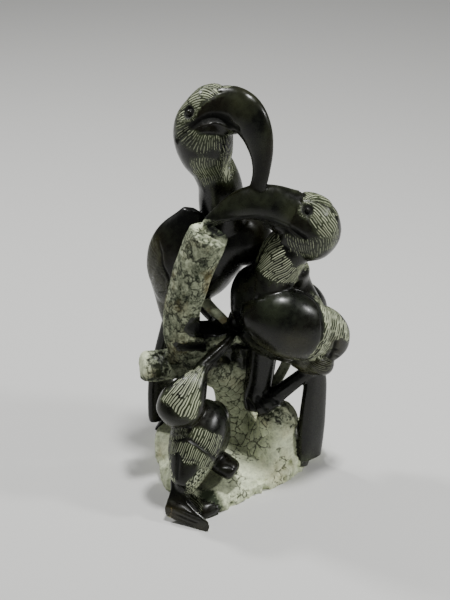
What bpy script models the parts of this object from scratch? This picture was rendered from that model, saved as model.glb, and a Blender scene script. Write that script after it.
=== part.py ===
"""A stone carving of three big-beaked birds around a broken tree, cut in one block with its rock base.

The first bird perches behind the tree and looks over it, the second leans in from the right and
lays its beak on the broken top, and the third, a young one, sits on the rock and begs upwards.
Run it with: blender --background --python part.py
"""

import math

import bmesh
import bpy
import numpy as np
from mathutils import Vector

# Driving dimensions, in metres
FIGURE_HEIGHT = 0.416  # the rock's front edge to the crown of the first bird
RIM_HEIGHT = 0.008  # the rock's edge at the front
ROCK_WIDTH = 0.171  # the rock's footprint, left to right
ROCK_DEPTH = 0.166  # and front to back
GRAIN = 0.0022  # the finest form that the solid keeps
TRIANGLES = 9400  # the solid's budget of faces

# The forms are drawn at a pattern height of 416 above the rim, and take their size from that share
PATTERN_HEIGHT = 416.2
SHARE = FIGURE_HEIGHT / PATTERN_HEIGHT

ALONG_Y = (0.0, 1.0, 0.0)
EASING_STEPS = 6  # rings between two drawn stations
RING_POINTS = 28


def from_pattern(x, y, z):
    """A pattern point, in metres, with the rim's height under it."""
    return np.array((x * SHARE, y * SHARE, z * SHARE + RIM_HEIGHT))


def eased(rows):
    """Rows of place and size, filled in by a Catmull-Rom curve through every one of them."""
    rows = np.array(rows, float)
    ends = np.vstack((2 * rows[0] - rows[1], rows, 2 * rows[-1] - rows[-2]))
    found = []
    for before, here, after, beyond in zip(ends, ends[1:], ends[2:], ends[3:]):
        for step in range(EASING_STEPS):
            t = step / EASING_STEPS
            found.append(
                0.5 * (2 * here + (after - before) * t
                       + (2 * before - 5 * here + 4 * after - beyond) * t ** 2
                       + (3 * here - before - 3 * after + beyond) * t ** 3)
            )
    found.append(rows[-1])
    return np.array(found)


def rounding(places, start, end):
    """How far each ring shrinks so that the ends close in a quarter circle of these lengths."""
    steps = np.linalg.norm(np.diff(places, axis=0), axis=1)
    run = np.concatenate(((0.0,), np.cumsum(steps)))
    keep = np.ones(len(run))
    for length, distance in ((start, run), (end, run[-1] - run)):
        if length:
            inside = np.clip(1 - distance / length, 0, 1)
            keep = np.minimum(keep, np.sqrt(np.clip(1 - inside ** 2, 0.0004, 1)))
    return keep


def loft(rows, side=ALONG_Y, caps=(0, 0), power=2.0, ridge=0.0, up=None):
    """A closed form whose section changes along a path.

    Each row is x, y, z, half the width along side and half the height across it. power squares the
    section up from an ellipse, and ridge narrows its upper half, as on a beak. The section stands
    square to the path, or in the plane of side and up where up is given.
    """
    rings = eased(rows)
    places = rings[:, :3]
    sizes = rings[:, 3:5] * rounding(places, *caps)[:, None]
    heading = np.gradient(places, axis=0)
    heading /= np.linalg.norm(heading, axis=1)[:, None]
    if up is None:
        across = np.array(side) - heading * (heading @ np.array(side))[:, None]
        across /= np.linalg.norm(across, axis=1)[:, None]
        over = np.cross(heading, across)
        over *= math.copysign(1, over[0, 2])
    else:
        across = np.tile(np.array(side) / np.linalg.norm(side), (len(rings), 1))
        over = np.tile(np.array(up) / np.linalg.norm(up), (len(rings), 1))
    turn = np.arange(RING_POINTS) * 2 * math.pi / RING_POINTS
    wide = np.sign(np.cos(turn)) * np.abs(np.cos(turn)) ** (2 / power)
    high = np.sign(np.sin(turn)) * np.abs(np.sin(turn)) ** (2 / power)
    wide *= 1 - ridge * high
    mesh = bmesh.new()
    loops = []
    for place, size, a, b in zip(places, sizes, across, over):
        ring = place + np.outer(wide * size[0], a) + np.outer(high * size[1], b)
        loops.append([mesh.verts.new(from_pattern(*point)) for point in ring])
    for first, second in zip(loops, loops[1:]):
        for i in range(RING_POINTS):
            j = (i + 1) % RING_POINTS
            mesh.faces.new((first[i], first[j], second[j], second[i]))
    mesh.faces.new(loops[0])
    mesh.faces.new(loops[-1])
    bmesh.ops.recalc_face_normals(mesh, faces=mesh.faces)
    return mesh


def limb(rows):
    """A round form of changing thickness, from a curve with a bevel. Each row is x, y, z, radius."""
    points = eased(rows)
    curve = bpy.data.curves.new("limb", "CURVE")
    curve.dimensions = "3D"
    curve.bevel_depth = 1.0
    curve.bevel_resolution = 6
    curve.use_fill_caps = True
    spline = curve.splines.new("POLY")
    spline.points.add(len(points) - 1)
    for point, row in zip(spline.points, points):
        point.co = (*from_pattern(*row[:3]), 1)
        point.radius = row[3] * SHARE
    guide = bpy.data.objects.new("limb", curve)
    bpy.context.scene.collection.objects.link(guide)
    graph = bpy.context.evaluated_depsgraph_get()
    made = bpy.data.meshes.new_from_object(guide.evaluated_get(graph))
    bpy.data.objects.remove(guide)
    mesh = bmesh.new()
    mesh.from_mesh(made)
    bpy.data.meshes.remove(made)
    bmesh.ops.remove_doubles(mesh, verts=mesh.verts, dist=0.00001)
    bmesh.ops.recalc_face_normals(mesh, faces=mesh.faces)
    return mesh


def ball(x, y, z, radii):
    """A sphere drawn out to three radii."""
    mesh = bmesh.new()
    bmesh.ops.create_uvsphere(mesh, u_segments=24, v_segments=16, radius=1.0)
    for vert in mesh.verts:
        vert.co = Vector(from_pattern(x, y, z)) + Vector([c * r * SHARE for c, r in zip(vert.co, radii)])
    return mesh


def mirrored_across(rows, point, side, share=1.0):
    """The same rows on the other side of a plane through a point, square to side.

    share draws them in towards the plane.
    """
    found = []
    for x, y, z, *sizes in rows:
        away = (np.array((x, y, z)) - np.array(point)) @ np.array(side)
        found.append((*(np.array((x, y, z)) - (1 + share) * away * np.array(side)), *sizes))
    return found


def tree():
    """The broken trunk, its stub on the left and the bough that the first bird stands on."""
    trunk = [
        (-4, 32, 12, 31), (-4, 31, 26, 25), (-5, 29, 47, 19), (-6, 27, 68, 18),
        (-12, 21, 94, 19), (-28, 10, 115, 21), (-46, 2, 135, 21), (-56, -3, 160, 19),
        (-56, -5, 187, 18.5), (-50, -5, 213, 19), (-42, -5, 241, 20), (-34, -5, 262, 20.5),
        (-29, -6, 275, 20),
    ]
    fork = [(-3, 28, 66, 17), (-1, 25, 92, 17), (2, 20, 118, 15), (5, 14, 142, 13)]
    stub = [
        (-46, 1, 125, 19), (-64, -3, 125, 16), (-83, -10, 126.5, 16), (-94.5, -13, 128, 15.5),
        (-98.5, -14, 128.5, 12),
    ]
    bough = [(-52, 2, 158, 11, 12), (-30, 10, 154, 13, 12), (-8, 15, 150, 13, 11), (14, 17, 151, 12, 11)]
    web = [(-44, 3, 140, 14, 15), (-24, 12, 134, 12, 15), (-4, 18, 130, 10, 13)]
    return [limb(trunk), limb(fork), limb(stub), loft(bough), loft(web)]


FIRST_SIDE = (0.45, 0.893, 0.0)  # to the first bird's left, away from the viewer
FIRST_FACE_SIDE = (0.56, 0.828, 0.0)  # the same for its turned head
FIRST_SPINE = (-24, 53, 220)


def first_bird():
    """The bird behind the tree: head high and turned right, tail down at the left."""
    body = [
        (34, 42, 252, 14, 15), (26, 43, 250, 21, 22), (12, 46, 245.5, 26, 29), (-6, 49, 241.5, 32, 29.5),
        (-24, 53, 225, 34, 33), (-40, 57, 203, 31, 34), (-54, 59, 180, 24, 26), (-66, 59, 154, 14, 14),
    ]
    neck = [
        (-12, 50, 250, 27), (-13, 46, 268, 25.5), (-16, 42, 288, 23.5), (-18.5, 38, 310, 21.5),
        (-25, 35, 328, 21),
    ]
    head = [
        (-27, 35, 326, 19, 20), (-31, 34, 342, 25, 27), (-34, 33, 360, 26, 30.5),
        (-33, 32, 376, 25, 28.5), (-29, 32, 390, 21, 22), (-21, 32, 406, 15, 16), (-18, 32, 414, 13, 15),
    ]
    beak = [
        (-24, 31, 384, 20, 22), (-8, 24, 392, 17, 24), (6, 13, 392.5, 14, 22), (16, 7, 379, 12, 18),
        (21, 3, 362, 9.5, 13.5), (22, 0, 347, 7.5, 10), (20.5, -2, 332, 6, 8.5), (15, -3, 313, 5, 8),
    ]
    wing = [
        (-44, 31, 286, 6, 9), (-50, 27, 268, 10, 20), (-62, 24, 245, 13, 27), (-70, 27, 218, 13, 25),
        (-70.5, 35, 190, 10.5, 19), (-71, 43, 160, 8, 12), (-70, 49, 134, 4, 7),
    ]
    covert = [
        (-57, 24, 262, 5, 9), (-66, 21, 243, 9, 15), (-72, 22, 218, 10, 16), (-74, 30, 192, 8, 13),
        (-73, 38, 170, 4, 8),
    ]
    tail = [
        (-60, 60, 164, 14, 10), (-67, 60, 142, 13, 8), (-76, 58, 108, 13, 6.5), (-82, 54, 72, 16, 5.5),
        (-82.5, 48, 34, 17, 5.5), (-82.5, 46, 22, 15, 5.5),
    ]
    near_leg = [(-38, 46, 182, 8), (-35, 40, 176, 6), (-26, 30, 170, 5.4), (-16, 20, 164, 5.6), (-12, 15, 160, 6)]
    far_leg = [(-46, 56, 178, 6), (-42, 50, 171, 5), (-34, 38, 164, 5), (-25, 27, 160, 5)]
    return [
        loft(body, side=FIRST_SIDE, caps=(14, 10)),
        limb(neck),
        loft(head, side=FIRST_FACE_SIDE, caps=(0, 16)),
        loft(beak, side=FIRST_FACE_SIDE, ridge=0.2),
        loft(wing, side=FIRST_SIDE, caps=(4, 10)),
        loft(covert, side=FIRST_SIDE, caps=(8, 8)),
        loft(mirrored_across(wing[2:], FIRST_SPINE, FIRST_SIDE, 0.62), side=FIRST_SIDE, caps=(20, 10)),
        loft(tail, side=(0.75, 0.66, 0.0), power=3.0),
        limb(near_leg),
        limb(far_leg),
    ]


SECOND_SIDE = (-0.34, 0.94, 0.0)  # to the second bird's right, away from the viewer
SECOND_SPINE = (44, 9, 170)


def second_bird():
    """The bird at the right, leaning left with its beak laid on the broken tree."""
    body = [
        (-2, 10, 185, 17, 24), (12, 10, 182, 25, 31), (36, 9, 168, 30, 36), (60, 8, 155, 31, 34),
        (80, 8, 139, 24, 25), (96, 7, 124, 13, 14),
    ]
    back = [(55, 12, 237, 21, 17), (55, 17, 212, 18.5, 17.5), (69, 15, 186, 18, 15), (86, 9, 160, 15, 14)]
    rump = [(58, 4, 142, 22, 20), (78, 4, 129, 20, 19), (94, 5, 118, 14, 13)]
    neck = [
        (60, 8, 260, 20), (47, 6, 250, 24), (38, 5, 231, 23), (28, 6, 210, 26), (20, 8, 190, 28),
        (18, 10, 174, 24),
    ]
    head = [
        (42, 4, 290, 18, 25), (58, 6, 282, 25, 34), (74, 7, 273, 26, 34), (87, 7, 268, 22, 27),
        (100, 7, 264, 13, 18),
    ]
    beak = [
        (48, 5, 294, 18, 25), (30, 1, 305, 15, 20), (11, -2, 307.5, 12.5, 17), (-6, -4, 302.5, 10, 13),
        (-20, -6, 295, 7.5, 8.5), (-33, -7, 285, 4, 4.5), (-37, -7, 281, 2, 2.5),
    ]
    wing = [
        (4, -8, 180, 8, 10), (18, -13, 184, 20, 25), (42, -17, 183, 26, 35), (64, -15, 172, 25, 34),
        (80, -10, 160, 18, 27), (90, -6, 152, 9, 17),
    ]
    coverts = [
        (68, -8, 188, 13, 15), (81, -8, 173, 17, 23), (92.5, -4, 156, 15, 23), (99.5, -1, 138, 10, 15),
        (102.5, 1, 133, 6, 9),
    ]
    edge = [(70, -8, 138, 14, 12), (84, -6, 128, 15, 13), (89, 0, 123, 10, 11), (92, 2, 120, 5, 6)]
    tail = [
        (80, 6, 132, 10, 9), (80, 5, 114, 11, 8), (80.5, 3, 92, 14, 7), (79, 1, 62, 16, 7),
        (78, 0, 32, 16, 7), (77, 0, 5, 14, 7),
    ]
    near_leg = [(76, 0, 115, 8), (69, 0, 110, 7.5), (49, -2, 93, 8.5), (33, -4, 80, 9.5), (20, -4, 70, 10)]
    far_leg = [(53, 20, 116, 5.5), (46, 18, 100, 5.5), (37, 14, 86, 6), (27, 10, 76, 7)]
    thigh = [(26, 8, 144, 16), (25, 8, 122, 15), (23, 8, 100, 14), (19, 4, 82, 13), (17, 0, 66, 10)]
    parts = [
        loft(body, side=SECOND_SIDE, caps=(12, 10)),
        loft(back, side=SECOND_SIDE, caps=(10, 10)),
        loft(rump, side=SECOND_SIDE, caps=(10, 10)),
        limb(neck),
        loft(head, caps=(8, 14)),
        loft(beak, ridge=0.2),
        ball(16, 10, 197, (24, 24, 34)),
        ball(-1, 14, 167, (9, 9, 13)),
        loft(tail, side=(0.8, 0.6, 0.0), power=3.0),
        limb(near_leg),
        limb(far_leg),
        limb(thigh),
    ]
    for rows in (wing, coverts, edge):
        parts.append(loft(rows, side=SECOND_SIDE, caps=(10, 7)))
        parts.append(loft(mirrored_across(rows, SECOND_SPINE, SECOND_SIDE), side=SECOND_SIDE, caps=(10, 7)))
    return parts


YOUNG_SIDE = (0.916, -0.40, 0.0)  # to the young bird's right
YOUNG_SPINE = (-39, -50, 72)


def young_bird():
    """The young bird on the rock, its back to the front and its head thrown back to beg."""
    body = [
        (-28, -22, 90, 12, 12), (-32, -34, 84, 24, 24), (-39, -50, 72, 28, 28), (-46, -64, 58, 26, 24),
        (-52, -76, 42, 19, 17), (-57, -85, 28, 11, 11),
    ]
    wing = [
        (-26, -30, 84, 6, 10), (-21, -36, 74, 12, 22), (-23, -50, 64, 13, 24), (-31, -65, 50, 10, 19),
        (-42, -77, 36, 7, 12), (-52, -86, 26, 4, 7),
    ]
    belly = [
        (-26, -24, 60, 18, 18), (-34, -38, 48, 24, 26), (-42, -54, 36, 24, 24), (-50, -70, 26, 19, 18),
        (-57, -82, 18, 12, 11),
    ]
    tail = [(-59, -74, 26, 11, 10), (-60, -80, 16, 9, 8), (-57, -88, 9, 15, 7), (-51, -101, 0.5, 25.5, 7.5)]
    neck = [(-60, -50, 96, 15), (-50, -44, 84, 20), (-42, -44, 76, 20)]
    head = [
        (-68, -60, 86, 12, 12), (-63, -56, 96, 22, 20), (-55, -50, 109, 24, 22), (-46, -43, 123, 17, 16),
        (-38, -34, 134, 9, 9),
    ]
    beak = [
        (-42, -38, 129, 10, 10), (-33, -28, 140, 7, 7), (-21, -17, 147, 6, 6.5), (-10, -6, 153, 4.5, 5),
        (-3, 4, 157, 2.5, 3),
    ]
    return [
        loft(body, side=YOUNG_SIDE, caps=(12, 8)),
        loft(wing, side=YOUNG_SIDE, caps=(8, 6)),
        loft(mirrored_across(wing, YOUNG_SPINE, YOUNG_SIDE), side=YOUNG_SIDE, caps=(8, 6)),
        loft(belly, side=YOUNG_SIDE, caps=(10, 8)),
        ball(-22, -35, 74, (14, 17, 24)),
        loft(tail, side=(0.915, -0.383, -0.128), up=(0.0, 0.1, 1.0), power=6.0),
        limb(neck),
        loft(head, side=YOUNG_SIDE, caps=(12, 0)),
        loft(beak, side=YOUNG_SIDE),
        ball(-10, -48, 26, (13, 17, 10)),
    ]


# The rock's outline, as shares of half its width and half its depth, from the left round the front
ROCK_OUTLINE = [
    (-1.0, 0.58), (-0.98, 0.2), (-0.86, -0.3), (-0.65, -0.66), (-0.4, -0.95), (-0.2, -0.88),
    (0.12, -0.62), (0.5, -0.34), (0.84, -0.02), (1.0, 0.34), (0.95, 0.7), (0.6, 0.94), (0.05, 1.0),
    (-0.55, 0.96), (-0.88, 0.84),
]
ROCK_MIDDLE = (-4.0, -10.0)
ROCK_PEAK = (-2, 30)
# How far each ring has drawn in from the outline to the peak, and how high it stands
ROCK_RINGS = [(0.0, -16), (0.0, -1), (0.06, 4), (0.3, 10), (0.6, 18), (0.85, 25), (0.98, 27)]
BACK_RISE = 0.13  # the rim climbs this much for each unit towards the back


def rock():
    """The mound, drawn in ring by ring from its footprint to the foot of the tree, and its knob."""
    outline = eased(ROCK_OUTLINE + ROCK_OUTLINE[:1])[:-1]
    half = np.array((ROCK_WIDTH, ROCK_DEPTH)) / 2 / SHARE
    foot = np.array(ROCK_MIDDLE) + outline * half
    mesh = bmesh.new()
    loops = []
    for drawn_in, height in ROCK_RINGS:
        ring = foot + (np.array(ROCK_PEAK) - foot) * drawn_in
        rise = BACK_RISE * (foot[:, 1] - foot[:, 1].min()) * (1 - drawn_in) * (height > -10)
        loops.append([mesh.verts.new(from_pattern(x, y, height + lift)) for (x, y), lift in zip(ring, rise)])
    for first, second in zip(loops, loops[1:]):
        for i in range(len(first)):
            j = (i + 1) % len(first)
            mesh.faces.new((first[i], first[j], second[j], second[i]))
    mesh.faces.new(loops[0])
    mesh.faces.new(loops[-1])
    bmesh.ops.recalc_face_normals(mesh, faces=mesh.faces)
    foot_knob = [(42, 3, 48, 20), (40, 5, 32, 25), (36, 8, 12, 34), (36, 8, 4, 36)]
    return [mesh, ball(42, 2, 50, (22, 21, 24)), limb(foot_knob)]


# Lines cut into the finished forms: how wide, how deep, the points they run through, and the plane
# that repeats them on the other side of a bird, as a point and a direction
SECOND_FACE = ((44, -4, 280), (0, 1, 0))
FIRST_FACE = ((-33, 32, 376), FIRST_FACE_SIDE)
SECOND_WING = (SECOND_SPINE, SECOND_SIDE)
YOUNG_BACK = (YOUNG_SPINE, YOUNG_SIDE)
CUT_LINES = [
    (2.2, 2.6, [(-31, -12, 282), (-16, -14, 290), (6, -16, 297), (28, -16, 295), (47, -16, 288), (64, -19, 278)],
     SECOND_FACE),
    (2.2, 2.6, [(-60, 22, 362), (-46, 11, 380), (-23, 11, 391), (-3, 3, 383)], FIRST_FACE),
    (2.2, 2.4, [(60, -9, 214), (76, -12, 205), (83, -26, 192), (84, -31, 176), (80, -31, 158), (68, -25, 143),
                (53, -12, 131)], SECOND_WING),
    (2.0, 2.2, [(83, -30, 164), (95, -19, 151), (104, -6, 148)], SECOND_WING),
    (2.0, 2.2, [(98, -18, 160), (93, -14, 139)], SECOND_WING),
    (2.0, 2.2, [(-48, -77, 82), (-36, -80, 76), (-23, -76, 61)], YOUNG_BACK),
    (1.8, 2.0, [(-52, -73, 84), (-58, -80, 66), (-60, -88, 44)], None),
    (2.2, 2.4, [(-28, -81, 56), (-40, -88, 41), (-56, -87, 22)], YOUNG_BACK),
    (2.2, 2.2, [(11, -6, 81), (19, -12, 71)], None),
    (2.2, 2.2, [(21, -8, 86), (29, -13, 74)], None),
    (2.2, 2.2, [(29, -7, 90), (40, -12, 83)], None),
    (2.2, 2.4, [(-57, -22, 157), (-43, -17, 153), (-30, -4, 149)], None),
]
# Eyes: the place, the socket's radius and depth, and how far the ball stands out of it again
EYES = [
    ((-48, 19, 392), FIRST_FACE),
    ((66, -12, 305), SECOND_FACE),
    ((-38, -30, 112), (YOUNG_SPINE, YOUNG_SIDE)),
]
SOCKET = 7.0
SOCKET_DEPTH = 2.6
EYEBALL = 3.4
EYEBALL_HEIGHT = 3.0


def distance_to_path(places, path):
    """How far each place is from the nearest point of a path of straight runs."""
    nearest = np.full(len(places), np.inf)
    for start, end in zip(path, path[1:]):
        run = end - start
        along = np.clip((places - start) @ run / (run @ run), 0, 1)
        nearest = np.minimum(nearest, np.linalg.norm(places - start - np.outer(along, run), axis=1))
    return nearest


def other_side(path, mirror):
    """The path itself, and its image across a plane where one is given."""
    path = np.array(path, float)
    if mirror is None:
        return [path]
    point, side = (np.array(value, float) for value in mirror)
    return [path, path - 2 * np.outer((path - point) @ side, side)]


def cut_in(mesh):
    """Presses the carved lines and the eyes into the surface, along its own normals."""
    count = len(mesh.vertices)
    places = np.empty(count * 3)
    normals = np.empty(count * 3)
    mesh.vertices.foreach_get("co", places)
    mesh.vertices.foreach_get("normal", normals)
    places = places.reshape(-1, 3)
    normals = normals.reshape(-1, 3)
    pattern = (places - np.array((0, 0, RIM_HEIGHT))) / SHARE
    depth = np.zeros(count)
    for wide, deep, path, mirror in CUT_LINES:
        for line in other_side(path, mirror):
            rows = eased(line)
            depth = np.maximum(depth, deep * np.exp(-(distance_to_path(pattern, rows) / wide) ** 2))
    for place, mirror in EYES:
        for centre in other_side([place], mirror):
            away = np.linalg.norm(pattern - centre[0], axis=1)
            depth += SOCKET_DEPTH * np.exp(-(away / SOCKET) ** 4)
            depth -= EYEBALL_HEIGHT * np.sqrt(np.clip(1 - (away / EYEBALL) ** 2, 0, 1))
    places -= normals * (depth * SHARE)[:, None]
    mesh.vertices.foreach_set("co", places.ravel())
    mesh.update()


def joined(forms):
    """All forms in one mesh, still overlapping."""
    whole = bmesh.new()
    for form in forms:
        piece = bpy.data.meshes.new("form")
        form.to_mesh(piece)
        form.free()
        whole.from_mesh(piece)
        bpy.data.meshes.remove(piece)
    mesh = bpy.data.meshes.new("bird_carving")
    whole.to_mesh(mesh)
    whole.free()
    return mesh


def applied(mesh, modifiers):
    """The mesh after these modifiers, each a type and its settings."""
    holder = bpy.data.objects.new("holder", mesh)
    bpy.context.scene.collection.objects.link(holder)
    for kind, settings in modifiers:
        modifier = holder.modifiers.new(kind.title(), kind)
        for name, value in settings.items():
            setattr(modifier, name, value)
    graph = bpy.context.evaluated_depsgraph_get()
    made = bpy.data.meshes.new_from_object(holder.evaluated_get(graph))
    bpy.data.objects.remove(holder)
    return made


def floor_cutter():
    """A block under the floor, which leaves the underside flat."""
    mesh = bmesh.new()
    bmesh.ops.create_cube(mesh, size=1.0)
    for vert in mesh.verts:
        vert.co = Vector((vert.co.x, vert.co.y, vert.co.z - 0.5))
    data = bpy.data.meshes.new("floor_cutter")
    mesh.to_mesh(data)
    mesh.free()
    cutter = bpy.data.objects.new("floor_cutter", data)
    cutter.hide_render = True
    cutter.display_type = "WIRE"
    return cutter


def stone():
    """The carving's two-toned stone, as its polished dark face."""
    material = bpy.data.materials.new("polished_serpentine")
    material.use_nodes = True
    shader = material.node_tree.nodes["Principled BSDF"]
    shader.inputs["Base Color"].default_value = (0.012, 0.014, 0.011, 1)
    shader.inputs["Roughness"].default_value = 0.3
    return material


def main():
    """Builds the one solid and puts it in its collection."""
    for old in list(bpy.data.objects):
        bpy.data.objects.remove(old)
    mesh = joined([*tree(), *first_bird(), *second_bird(), *young_bird(), *rock()])
    mesh = applied(mesh, [
        ("REMESH", {"mode": "VOXEL", "voxel_size": GRAIN}),
        ("SMOOTH", {"factor": 0.5, "iterations": 5}),
    ])
    cut_in(mesh)
    faces = sum(len(p.vertices) - 2 for p in mesh.polygons)
    mesh = applied(mesh, [("DECIMATE", {"ratio": TRIANGLES / faces})])
    cutters = bpy.data.collections.new("cutters")
    bpy.context.scene.collection.children.link(cutters)
    cutter = floor_cutter()
    cutters.objects.link(cutter)
    mesh.name = "bird_carving"
    mesh.materials.clear()
    mesh.materials.append(stone())
    carving = bpy.data.objects.new("bird_carving", mesh)
    group = bpy.data.collections.new("three_bird_carving")
    bpy.context.scene.collection.children.link(group)
    group.objects.link(carving)
    cut = carving.modifiers.new("flat_underside", "BOOLEAN")
    cut.object = cutter
    cut.operation = "DIFFERENCE"
    mesh.shade_smooth()


main()
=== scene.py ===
"""A stone carving of three big-beaked birds around a broken tree, cut in one block with its rock base.

The dark birds are rubbed smooth and waxed, while the bark, the rock and the chiselled feathers are
left pale. The forms are the solid's own, drawn again here with the finer carving on them.
"""

import logging
import math
from dataclasses import dataclass, field
from enum import Enum

import bmesh
import bpy
import numpy as np
from bpy.types import Material, Mesh, NodeSocket, Object
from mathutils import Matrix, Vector
from numpy.typing import NDArray


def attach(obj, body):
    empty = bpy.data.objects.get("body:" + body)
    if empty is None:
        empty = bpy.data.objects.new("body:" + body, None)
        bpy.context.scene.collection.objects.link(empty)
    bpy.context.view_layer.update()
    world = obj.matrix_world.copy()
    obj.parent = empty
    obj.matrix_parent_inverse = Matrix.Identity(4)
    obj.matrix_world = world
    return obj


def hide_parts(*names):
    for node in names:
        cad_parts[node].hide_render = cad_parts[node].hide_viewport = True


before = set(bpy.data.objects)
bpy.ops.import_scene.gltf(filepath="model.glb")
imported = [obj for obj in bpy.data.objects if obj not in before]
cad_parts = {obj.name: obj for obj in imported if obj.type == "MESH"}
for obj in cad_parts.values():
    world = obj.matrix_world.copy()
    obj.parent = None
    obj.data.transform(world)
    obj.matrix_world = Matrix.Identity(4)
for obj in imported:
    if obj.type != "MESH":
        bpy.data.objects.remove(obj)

Array = NDArray[np.float64]
Point = tuple[float, float, float]
Mark = tuple[float, float]
log = logging.getLogger("bird_carving")

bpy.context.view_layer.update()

# The solid's own sizes, in metres
FIGURE_HEIGHT = 0.416
RIM_HEIGHT = 0.008
ROCK_WIDTH = 0.171
ROCK_DEPTH = 0.166
PATTERN_HEIGHT = 416.2
SHARE = FIGURE_HEIGHT / PATTERN_HEIGHT  # one pattern unit, close to a millimetre

EASING_STEPS = 6
RING_POINTS = 36
GRAIN = 0.00090  # the finest form that the mesh keeps, before it is thinned
MELT = 18  # passes that melt one form into the next
TRIANGLES = 204_000

# The sheet on which patches and fine lines are drawn: it leans back by this much in front of the
# carving, and its marks are about a millimetre apart
SHEET_LEAN = math.radians(30)
SHEET_DISTANCE = 1400.0
SHEET_MIDDLE = (-13.0, 0.0, 206.0)
SHEET_MARK = (225.0, 300.0)

# The white noise of the shader's own node, so that mesh and colour agree on every stroke
HASH_START = 0xDEADBEEF
ALL_BITS = 0xFFFFFFFF
HASH_TURNS = ((2, 1, 14), (0, 2, 11), (1, 0, 25), (2, 1, 16), (0, 2, 4), (1, 0, 14), (2, 1, 24))


class Owner(Enum):
    """Which part of the carving a form belongs to."""

    ROCK = "rock"
    TREE = "tree"
    FIRST = "first"
    SECOND = "second"
    YOUNG = "young"


class Flow(Enum):
    """How the chisel's strokes lie in a patch."""

    ALONG = "along"  # along the axis, side by side around it
    FAN = "fan"  # away from the centre


def to_metres(places: Array) -> Array:
    """Turns pattern places into metres, with the rim's height under them.

    Args:
        places: Rows of pattern places.

    Returns:
        The same rows in metres.
    """
    return places * SHARE + np.array((0.0, 0.0, RIM_HEIGHT))


def to_pattern(places: Array) -> Array:
    """Turns metres into pattern places.

    Args:
        places: Rows of places in metres.

    Returns:
        The same rows in pattern units.
    """
    return (places - np.array((0.0, 0.0, RIM_HEIGHT))) / SHARE


def eased(rows: Array) -> Array:
    """Fills rows in by a Catmull-Rom curve through every one of them.

    Between two rows the curve is the usual cubic of the four rows around it, and each end is
    continued in a straight line.

    Args:
        rows: Rows of numbers, such as place and size.

    Returns:
        The rows with EASING_STEPS steps from each to the next.
    """
    ends = np.vstack((2 * rows[0] - rows[1], rows, 2 * rows[-1] - rows[-2]))
    t = (np.arange(EASING_STEPS) / EASING_STEPS)[None, :, None]
    before, here, after, beyond = (ends[i:len(ends) - 3 + i, None, :] for i in range(4))
    curve = 0.5 * (2 * here + (after - before) * t + (2 * before - 5 * here + 4 * after - beyond) * t ** 2
                   + (3 * here - before - 3 * after + beyond) * t ** 3)
    return np.vstack((curve.reshape(-1, rows.shape[1]), rows[-1:]))


def smooth_step(low: float, high: float, value: Array) -> Array:
    """Rises from 0 at low to 1 at high, level at both ends.

    Args:
        low: Where it starts, which may be the greater of the two.
        high: Where it ends.
        value: The numbers to read.

    Returns:
        Numbers from 0 to 1.
    """
    t = np.clip((value - low) / (high - low), 0, 1)
    return t * t * (3 - 2 * t)


def hashed(cells: Array, seed: float) -> Array:
    """A fixed number from 0 to 1 for each whole-number cell.

    It is the fraction of a large sine of the cell's place.

    Args:
        cells: Rows of whole numbers.
        seed: Which set of numbers.

    Returns:
        One number for each row.
    """
    mixed = cells @ np.array((127.1, 311.7, 74.7)[:cells.shape[-1]]) + seed * 19.19
    return np.modf(np.abs(np.sin(mixed)) * 43758.5453)[0]


def noise(places: Array, size: float, seed: float = 0.0) -> Array:
    """Soft lumps of about one size, from -1 to 1.

    Random numbers at the corners of a cubic lattice are blended between them by a smooth step.

    Args:
        places: Rows of places.
        size: A lump's size.
        seed: Which set of lumps.

    Returns:
        One number for each row.
    """
    scaled = places / size
    cell = np.floor(scaled)
    inside = scaled - cell
    inside = inside * inside * (3 - 2 * inside)
    total = np.zeros(len(places))
    for corner in np.ndindex(2, 2, 2):
        step = np.array(corner, float)
        weight = np.prod(np.where(step > 0, inside, 1 - inside), axis=1)
        total += weight * hashed(cell + step, seed)
    return total * 2 - 1


def rough(places: Array, size: float, seed: float, octaves: int = 3) -> Array:
    """Lumps on lumps: each layer half the size and half the height of the one before.

    Args:
        places: Rows of places.
        size: The largest lump.
        seed: Which set of lumps.
        octaves: How many layers.

    Returns:
        One number for each row, from about -1 to 1.
    """
    layers = [noise(places, size / 2 ** i, seed + i) / 2 ** i for i in range(octaves)]
    return np.sum(layers, axis=0) / (2 - 2 ** (1 - octaves))


def crackle(places: Array, seed: float) -> tuple[Array, Array]:
    """How far each place is from the nearest joint between random cells of about one unit.

    A cell is what lies nearest one random point, and a joint lies where two points are equally
    near, so the measure is half the difference of the two nearest distances.

    Args:
        places: Rows of three numbers, in cell sizes.
        seed: Which set of cells.

    Returns:
        Distances in cell sizes, and each cell's own number from 0 to 1.
    """
    cell = np.floor(places)
    nearest = np.full(len(places), np.inf)
    second = np.full(len(places), np.inf)
    own = np.zeros(len(places))
    for corner in np.ndindex(3, 3, 3):
        neighbour = cell + np.array(corner, float) - 1
        shift = np.stack([hashed(neighbour, seed + 7 * i) for i in range(3)], axis=1)
        away = np.linalg.norm(places - neighbour - 0.1 - 0.8 * shift, axis=1)
        closer = away < nearest
        second = np.where(closer, nearest, np.minimum(second, away))
        own = np.where(closer, shift[:, 0], own)
        nearest = np.where(closer, away, nearest)
    return (second - nearest) / 2, own


STROKE_END = 2.4  # over this length, in millimetres, a stroke narrows at each end


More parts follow.
